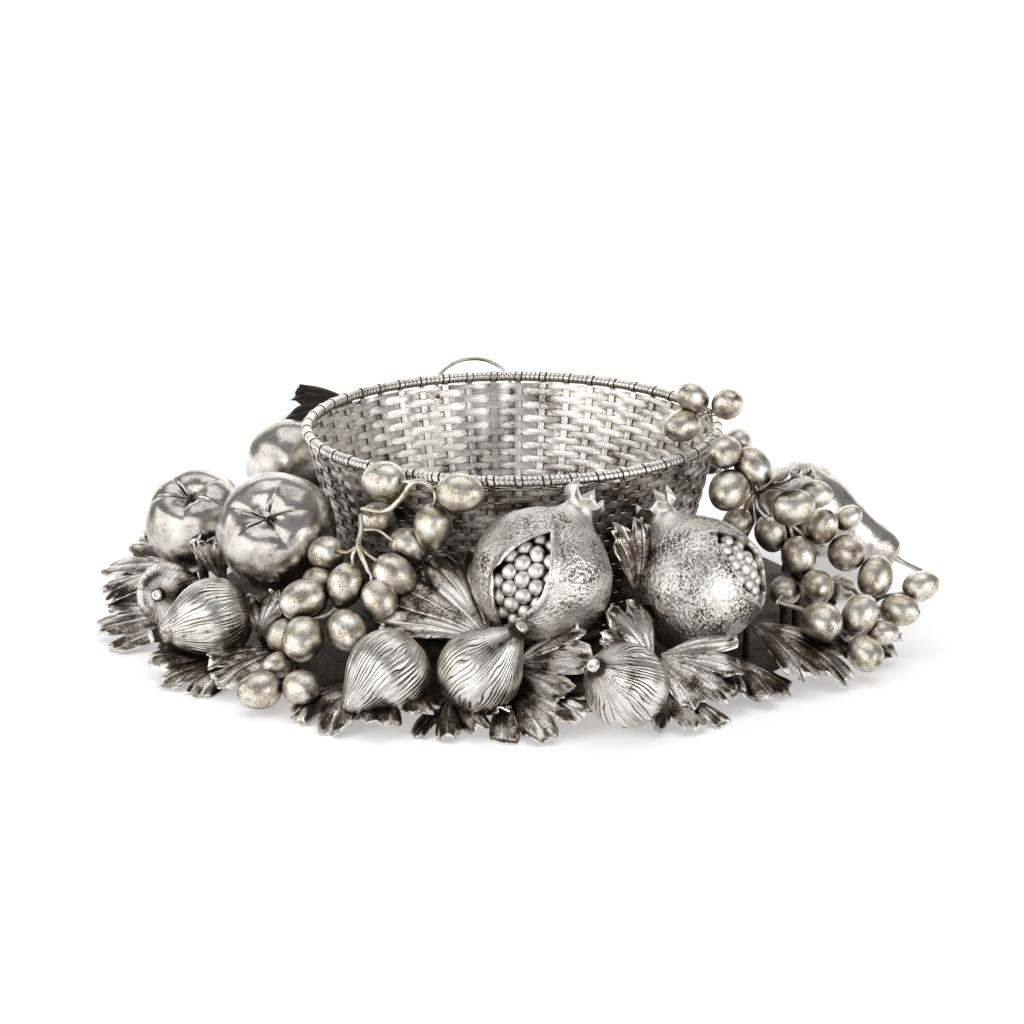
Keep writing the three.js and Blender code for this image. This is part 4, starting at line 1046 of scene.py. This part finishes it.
class HangGrapes(bpy.types.Operator):
    """Hangs the grapes on their vines by fine bent stalks"""

    bl_idname = "centrepiece.hang_grapes"
    bl_label = "Hang the grapes"

    def execute(self, context):
        sizes = wreath()
        rng = random.Random(11)
        for node, over_rim, joints, grapes in SPRIGS:
            level = basket().rim_height if over_rim else None
            places = [at(place, level) for place in joints]
            swell = [0.7, *[1.0] * (len(places) - 2), 0.9]
            runs = [[(p, sizes.vine * s) for p, s in zip(places, swell)]]
            balls = []
            for place, joint, size in grapes:
                middle = at(place, level)
                top = places[joint]
                axis = (top - middle).normalized()
                half = sizes.grape_length * size
                near = middle + axis * half * 0.96
                gap = (top - near).length
                bend = axis.cross(Vector((rng.uniform(-1, 1), rng.uniform(-1, 1), rng.uniform(0.2, 1))))
                bend = bend.normalized() * min(0.16 * gap, 2.2 * MM)
                if (top - middle).dot(axis) > half:
                    runs.append([(top, sizes.stalk * 1.3), ((top + near) / 2 + bend, sizes.stalk),
                                 (near, sizes.stalk * 1.05), (near - axis * 1.5 * MM, sizes.stalk * 1.6)])
                balls.append(self.grape(middle, axis, size, rng))
            vines = wires("vines", runs)
            stain_and_shade(vines, -0.1)
            sprig = join([vines, *balls], "silver_" + node)
            finish(sprig, node, "satin_cast_silver")
        return {"FINISHED"}

    def grape(self, middle, axis, size, rng):
        sizes = wreath()
        ball = added(bpy.ops.mesh.primitive_uv_sphere_add, "grape", segments=32, ring_count=24, radius=1)
        width, half = sizes.grape_width * size, sizes.grape_length * size
        tilt, lean = rng.uniform(0, 6.3), rng.uniform(0.0, 0.05)

        def grown(p):
            # Fuller towards the stalk, with a little bud where the blossom was.
            x, y, z = p.T
            off = np.hypot(x, y) * width
            fuller = 1 + 0.05 * z * (1 - z**2) + lean * np.cos(np.arctan2(y, x) - tilt) * 0.4
            bud = np.exp(-((off / (1.3 * MM)) ** 2)) * (z < 0)
            dimple = np.exp(-((off / (2.4 * MM)) ** 2)) * (z > 0)
            return np.column_stack([x * width * fuller, y * width * fuller,
                                    z * half - bud * 0.5 * MM - dimple * 0.8 * MM])

        mould(ball, grown)
        p, n = points(ball), normals(ball)
        lumps = grain(p + np.array(middle), 9 * MM)
        mould(ball, lambda q: q + n * (lumps * 0.18 * MM)[:, None])
        near_tip = np.exp(-((np.hypot(p[:, 0], p[:, 1]) / (2.2 * MM)) ** 2))
        stain_and_shade(ball, 0.55 * near_tip * (p[:, 2] < 0) + 0.5 * near_tip * (p[:, 2] > 0) - 0.05)
        ball.data.transform(aimed(axis, middle))
        return ball


class BendTendril(bpy.types.Operator):
    """Bends the loop of wire that stands behind the rim"""

    bl_idname = "centrepiece.bend_tendril"
    bl_label = "Bend the tendril"

    def execute(self, context):
        radius = wreath().tendril
        run = [(at(place, basket().rim_height), radius) for place in TENDRIL]
        loop = wires("silver_tendril", [run], 4)
        stain_and_shade(loop, 0)
        finish(loop, "vine_tendril", "polished_silver_sheet")
        return {"FINISHED"}


def leaf_frame(root, tip, tilt):
    """A leaf's own axes at its root: x to its tip, z out of its face."""
    start, end = at(root), at(tip)
    x = (end - start).normalized()
    outward = Vector((start.x, start.y, 0)).normalized()
    face = Vector((0, 0, 1)) + LEAF_LEAN * outward
    z = (face - face.dot(x) * x).normalized()
    z.rotate(Matrix.Rotation(math.radians(tilt), 3, x))
    y = z.cross(x)
    return Matrix.Translation(start) @ Matrix((x, y, z)).transposed().to_4x4(), (end - start).length


class ChaseLeaves(bpy.types.Operator):
    """Cuts the leaves, pleats them from their roots and curls their edges"""

    bl_idname = "centrepiece.chase_leaves"
    bl_label = "Chase the leaves"

    def execute(self, context):
        for number, row in enumerate(LEAVES):
            self.leaf(number, *row)
        return {"FINISHED"}

    def leaf(self, number, node, root, tip, lobes, fan, arch, tilt):
        sizes = wreath()
        placed, span = leaf_frame(root, tip, tilt)
        leaf = added(bpy.ops.mesh.primitive_grid_add, "silver_" + node,
                     x_subdivisions=lobes * 30, y_subdivisions=38, size=1)

        def pleated(p):
            # The outline: notches part the lobes, and the edge is toothed and a little ragged.
            along, t = p[:, 1] + 0.5, 2 * p[:, 0]
            lobe = (t + 1) / 2 * lobes
            edge_noise = grain(np.column_stack([lobe, 0 * lobe, 0 * lobe]), 0.21, number)
            notch = LEAF_NOTCH * np.abs(2 * (lobe % 1) - 1) ** 4
            teeth = 0.05 * np.abs(((lobe * 3.3 + 0.5 * edge_noise) % 1) * 2 - 1) + 0.03 * edge_noise
            reach = span * (1 - notch - LEAF_TAPER * t**2 - 0.03 - teeth)
            rho = LEAF_FOOT + (reach - LEAF_FOOT) * along
            turn = math.radians(fan) * t
            share = rho / span
            # The folds: each lobe rises to its middle, with two finer pleats, and the edge curls.
            rib = np.abs(np.sin(math.pi * lobe)) ** 0.8
            wander = lobe + 0.06 * grain(np.column_stack([t, share, 0 * t]), 0.3, number + 7)
            pleat = np.abs(np.sin(math.pi * wander * 2)) ** 0.75
            fold = sizes.leaf_fold * np.clip(share, 0, 1) ** 0.8
            ruffle = grain(np.column_stack([t * 2.2, along, 0 * t]), 0.4, number + 3)
            curl = np.clip((along - 0.72) / 0.28, 0, 1) ** 2
            z = arch * span / 100 * np.sin(math.pi * np.minimum(share, 1))
            z = z + fold * (1.3 * (rib - 0.6) + 0.8 * (pleat - 0.6)) + curl * ruffle * 6.5 * MM
            world = carried(around(rho, turn, z), placed)
            world[:, 2] = np.maximum(world[:, 2], CLEARANCE + sizes.leaf_thickness / 2)
            return world

        ends = points(leaf)
        mould(leaf, pleated)
        depth = 0.9 * hollows(leaf, 7, 0.42 * MM)
        at_edge = np.clip((ends[:, 1] + 0.5 - 0.95) / 0.04, 0, 1)
        near_root = np.clip(1 - (ends[:, 1] + 0.5) / 0.35, 0, 1)
        clouds = 0.09 + 0.45 * grain(points(leaf), 15 * MM, number)
        # The leaf behind the rim is made darker all over.
        darker_behind_rim = 0.9 * (node == "leaf_back_left")
        stain_and_shade(leaf, (depth + clouds + darker_behind_rim) * (1 - at_edge) - 0.7 * at_edge + 0.3 * near_root)
        use(leaf, "SOLIDIFY", thickness=sizes.leaf_thickness, offset=0)
        finish(leaf, node, "chased_oxidised_silver", 80)


class LayPlate(bpy.types.Operator):
    """Lays the base plate and stands its posts under the fruit"""

    bl_idname = "centrepiece.lay_plate"
    bl_label = "Lay the base plate"

    def execute(self, context):
        sizes = basket()
        disc = added(bpy.ops.mesh.primitive_cylinder_add, "plate", vertices=160,
                     radius=sizes.plate_radius, depth=sizes.plate_thickness,
                     location=(0, 0, sizes.plate_thickness / 2))
        bpy.ops.object.transform_apply()
        use(disc, "BEVEL", width=0.6 * MM, segments=3)
        fruit = [*(row[2] for row in APPLES), *(row[1] for row in [*POMEGRANATES, *PEARS]),
                 *(row[2] for row in FIGS)]
        tops = [at(place) for place in fruit]
        for node, over_rim, _, grapes in SPRIGS:
            if not over_rim:
                places = [at(grape[0]) for grape in grapes]
                # One sprig's post stands behind the right pomegranate.
                hidden = node == "grape_sprig_right_upper"
                tops.append(places[1] if hidden else min(places, key=self.post_length))
        roots = [at(root) for _, root, *_ in LEAVES]
        thick, thin = 2.6 * MM, 1.6 * MM
        low = 32 * MM  # leaves that root higher than this lie on their neighbours
        targets = [(top, thick) for top in tops] + [(root, thin) for root in roots if root.z < low]
        runs = [[(self.foot(target), radius * 1.2), ((self.foot(target) + target) / 2, radius),
                 (target, radius)] for target, radius in targets]
        plate = join([disc, wires("posts", runs)], "base_plate_and_posts")
        # Painted shade: the plate is made near-black all over
        stain_and_shade(plate, 0.8 + 0.3 * grain(points(plate), 20 * MM))
        finish(plate, "base_plate", "plate_dark_as_shadow")
        return {"FINISHED"}

    def foot(self, target):
        reach = math.hypot(target.x, target.y)
        share = min(reach, basket().plate_radius - 5 * MM) / reach
        return Vector((target.x * share, target.y * share, basket().plate_thickness + 1 * MM))

    def post_length(self, target):
        return (self.foot(target) - target).length


class SetStage(bpy.types.Operator):
    """Sets the pale table, the soft lights and the camera at the photograph's angle"""

    bl_idname = "centrepiece.set_stage"
    bl_label = "Set the stage"

    def execute(self, context):
        table = added(bpy.ops.mesh.primitive_plane_add, "table", size=24, location=(0, 6, 0))
        bpy.ops.object.transform_apply()
        board = bpy.data.materials.new("glowing_white_board")
        board.use_nodes = True
        tree = board.node_tree
        tree.nodes.clear()
        # The board glows, a painted light that grows towards the back, as a lit white sweep would.
        spot = add(tree, "TexCoord", output="Object")
        far = add(tree, "VectorMath", {"operation": "LENGTH"}, {0: spot}, "Value")
        glow = add(tree, "MapRange", {"From Min": 0.24, "From Max": 0.7, "To Min": 0.36, "To Max": 0.7},
                   {"Value": far})
        shader = add(tree, "BsdfPrincipled",
                     {"Base Color": finishes().table, "Roughness": 0.9, "Emission Color": (1, 1, 1, 1)},
                     {"Emission Strength": glow})
        add(tree, "OutputMaterial", (), {"Surface": shader})
        table.data.materials.append(board)

        # Large soft boxes: name, place, size, power
        boxes = [
            ("key_box", (-1.2, -0.8, 0.56), (3.2, 1.08), 15),
            ("right_box", (1.45, -1.2, 0.42), (1.6, 0.8), 8.5),
            ("top_box", (0.0, 0.1, 2.0), (2.4, 1.8), 13),
            ("back_box", (0.0, 2.3, 0.9), (4.4, 2.2), 36),
        ]
        for name, place, (wide, high), power in boxes:
            light = bpy.data.lights.new(name, "AREA")
            light.shape = "RECTANGLE"
            light.size, light.size_y = wide, high
            light.energy = power
            self.aim(in_scene(name, light), Vector(place), Vector((0, 0, 0.05)))
        world = bpy.data.worlds.new("studio")
        world.use_nodes = True
        sky = world.node_tree.nodes["Background"].inputs
        sky["Color"].default_value, sky["Strength"].default_value = linear("#d8dade"), 0.44
        bpy.context.scene.world = world
        bpy.context.scene.view_settings.view_transform = "Standard"

        distance, lift, target = 1.8, math.radians(16.45), 0.05
        lens = bpy.data.cameras.new("camera")
        lens.sensor_width, lens.lens, lens.shift_y = 36, 120.1, 0.0074
        camera = in_scene("camera", lens)
        place = Vector((0, -distance * math.cos(lift), target + distance * math.sin(lift)))
        self.aim(camera, place, Vector((0, 0, target)))
        bpy.context.scene.camera = camera
        return {"FINISHED"}

    def aim(self, thing, place, target):
        """Puts a lamp or the camera at its place, facing the target."""
        thing.location = place
        thing.rotation_euler = (target - place).to_track_quat("-Z", "Y").to_euler()


OPERATORS = [WeaveWall, WeaveFloor, WindRim, RaiseApples, RaisePears, ChaseFigs, RaisePomegranates,
             HangGrapes, BendTendril, ChaseLeaves, LayPlate, SetStage]


class CentrepiecePanel(bpy.types.Panel):
    """The sizes, the colours and the steps, in order"""

    bl_idname = "VIEW3D_PT_centrepiece"
    bl_label = "Centrepiece basket"
    bl_space_type = "VIEW_3D"
    bl_region_type = "UI"
    bl_category = "Centrepiece"

    def draw(self, context):
        for group in (basket(), wreath(), finishes()):
            column = self.layout.column(align=True)
            for name in type(group).__annotations__:
                column.prop(group, name)
        for operator in OPERATORS:
            self.layout.operator(operator.bl_idname)


CLASSES = [BasketSizes, WreathSizes, Finishes, *OPERATORS, CentrepiecePanel]


def register():
    for cls in CLASSES:
        bpy.utils.register_class(cls)
    bpy.types.Scene.basket_sizes = bpy.props.PointerProperty(type=BasketSizes)
    bpy.types.Scene.wreath_sizes = bpy.props.PointerProperty(type=WreathSizes)
    bpy.types.Scene.silver_finishes = bpy.props.PointerProperty(type=Finishes)


def unregister():
    del bpy.types.Scene.silver_finishes
    del bpy.types.Scene.wreath_sizes
    del bpy.types.Scene.basket_sizes
    for cls in reversed(CLASSES):
        bpy.utils.unregister_class(cls)


def main():
    register()
    for operator in OPERATORS:
        group, name = operator.bl_idname.split(".")
        getattr(getattr(bpy.ops, group), name)()


if __name__ == "__main__":
    main()
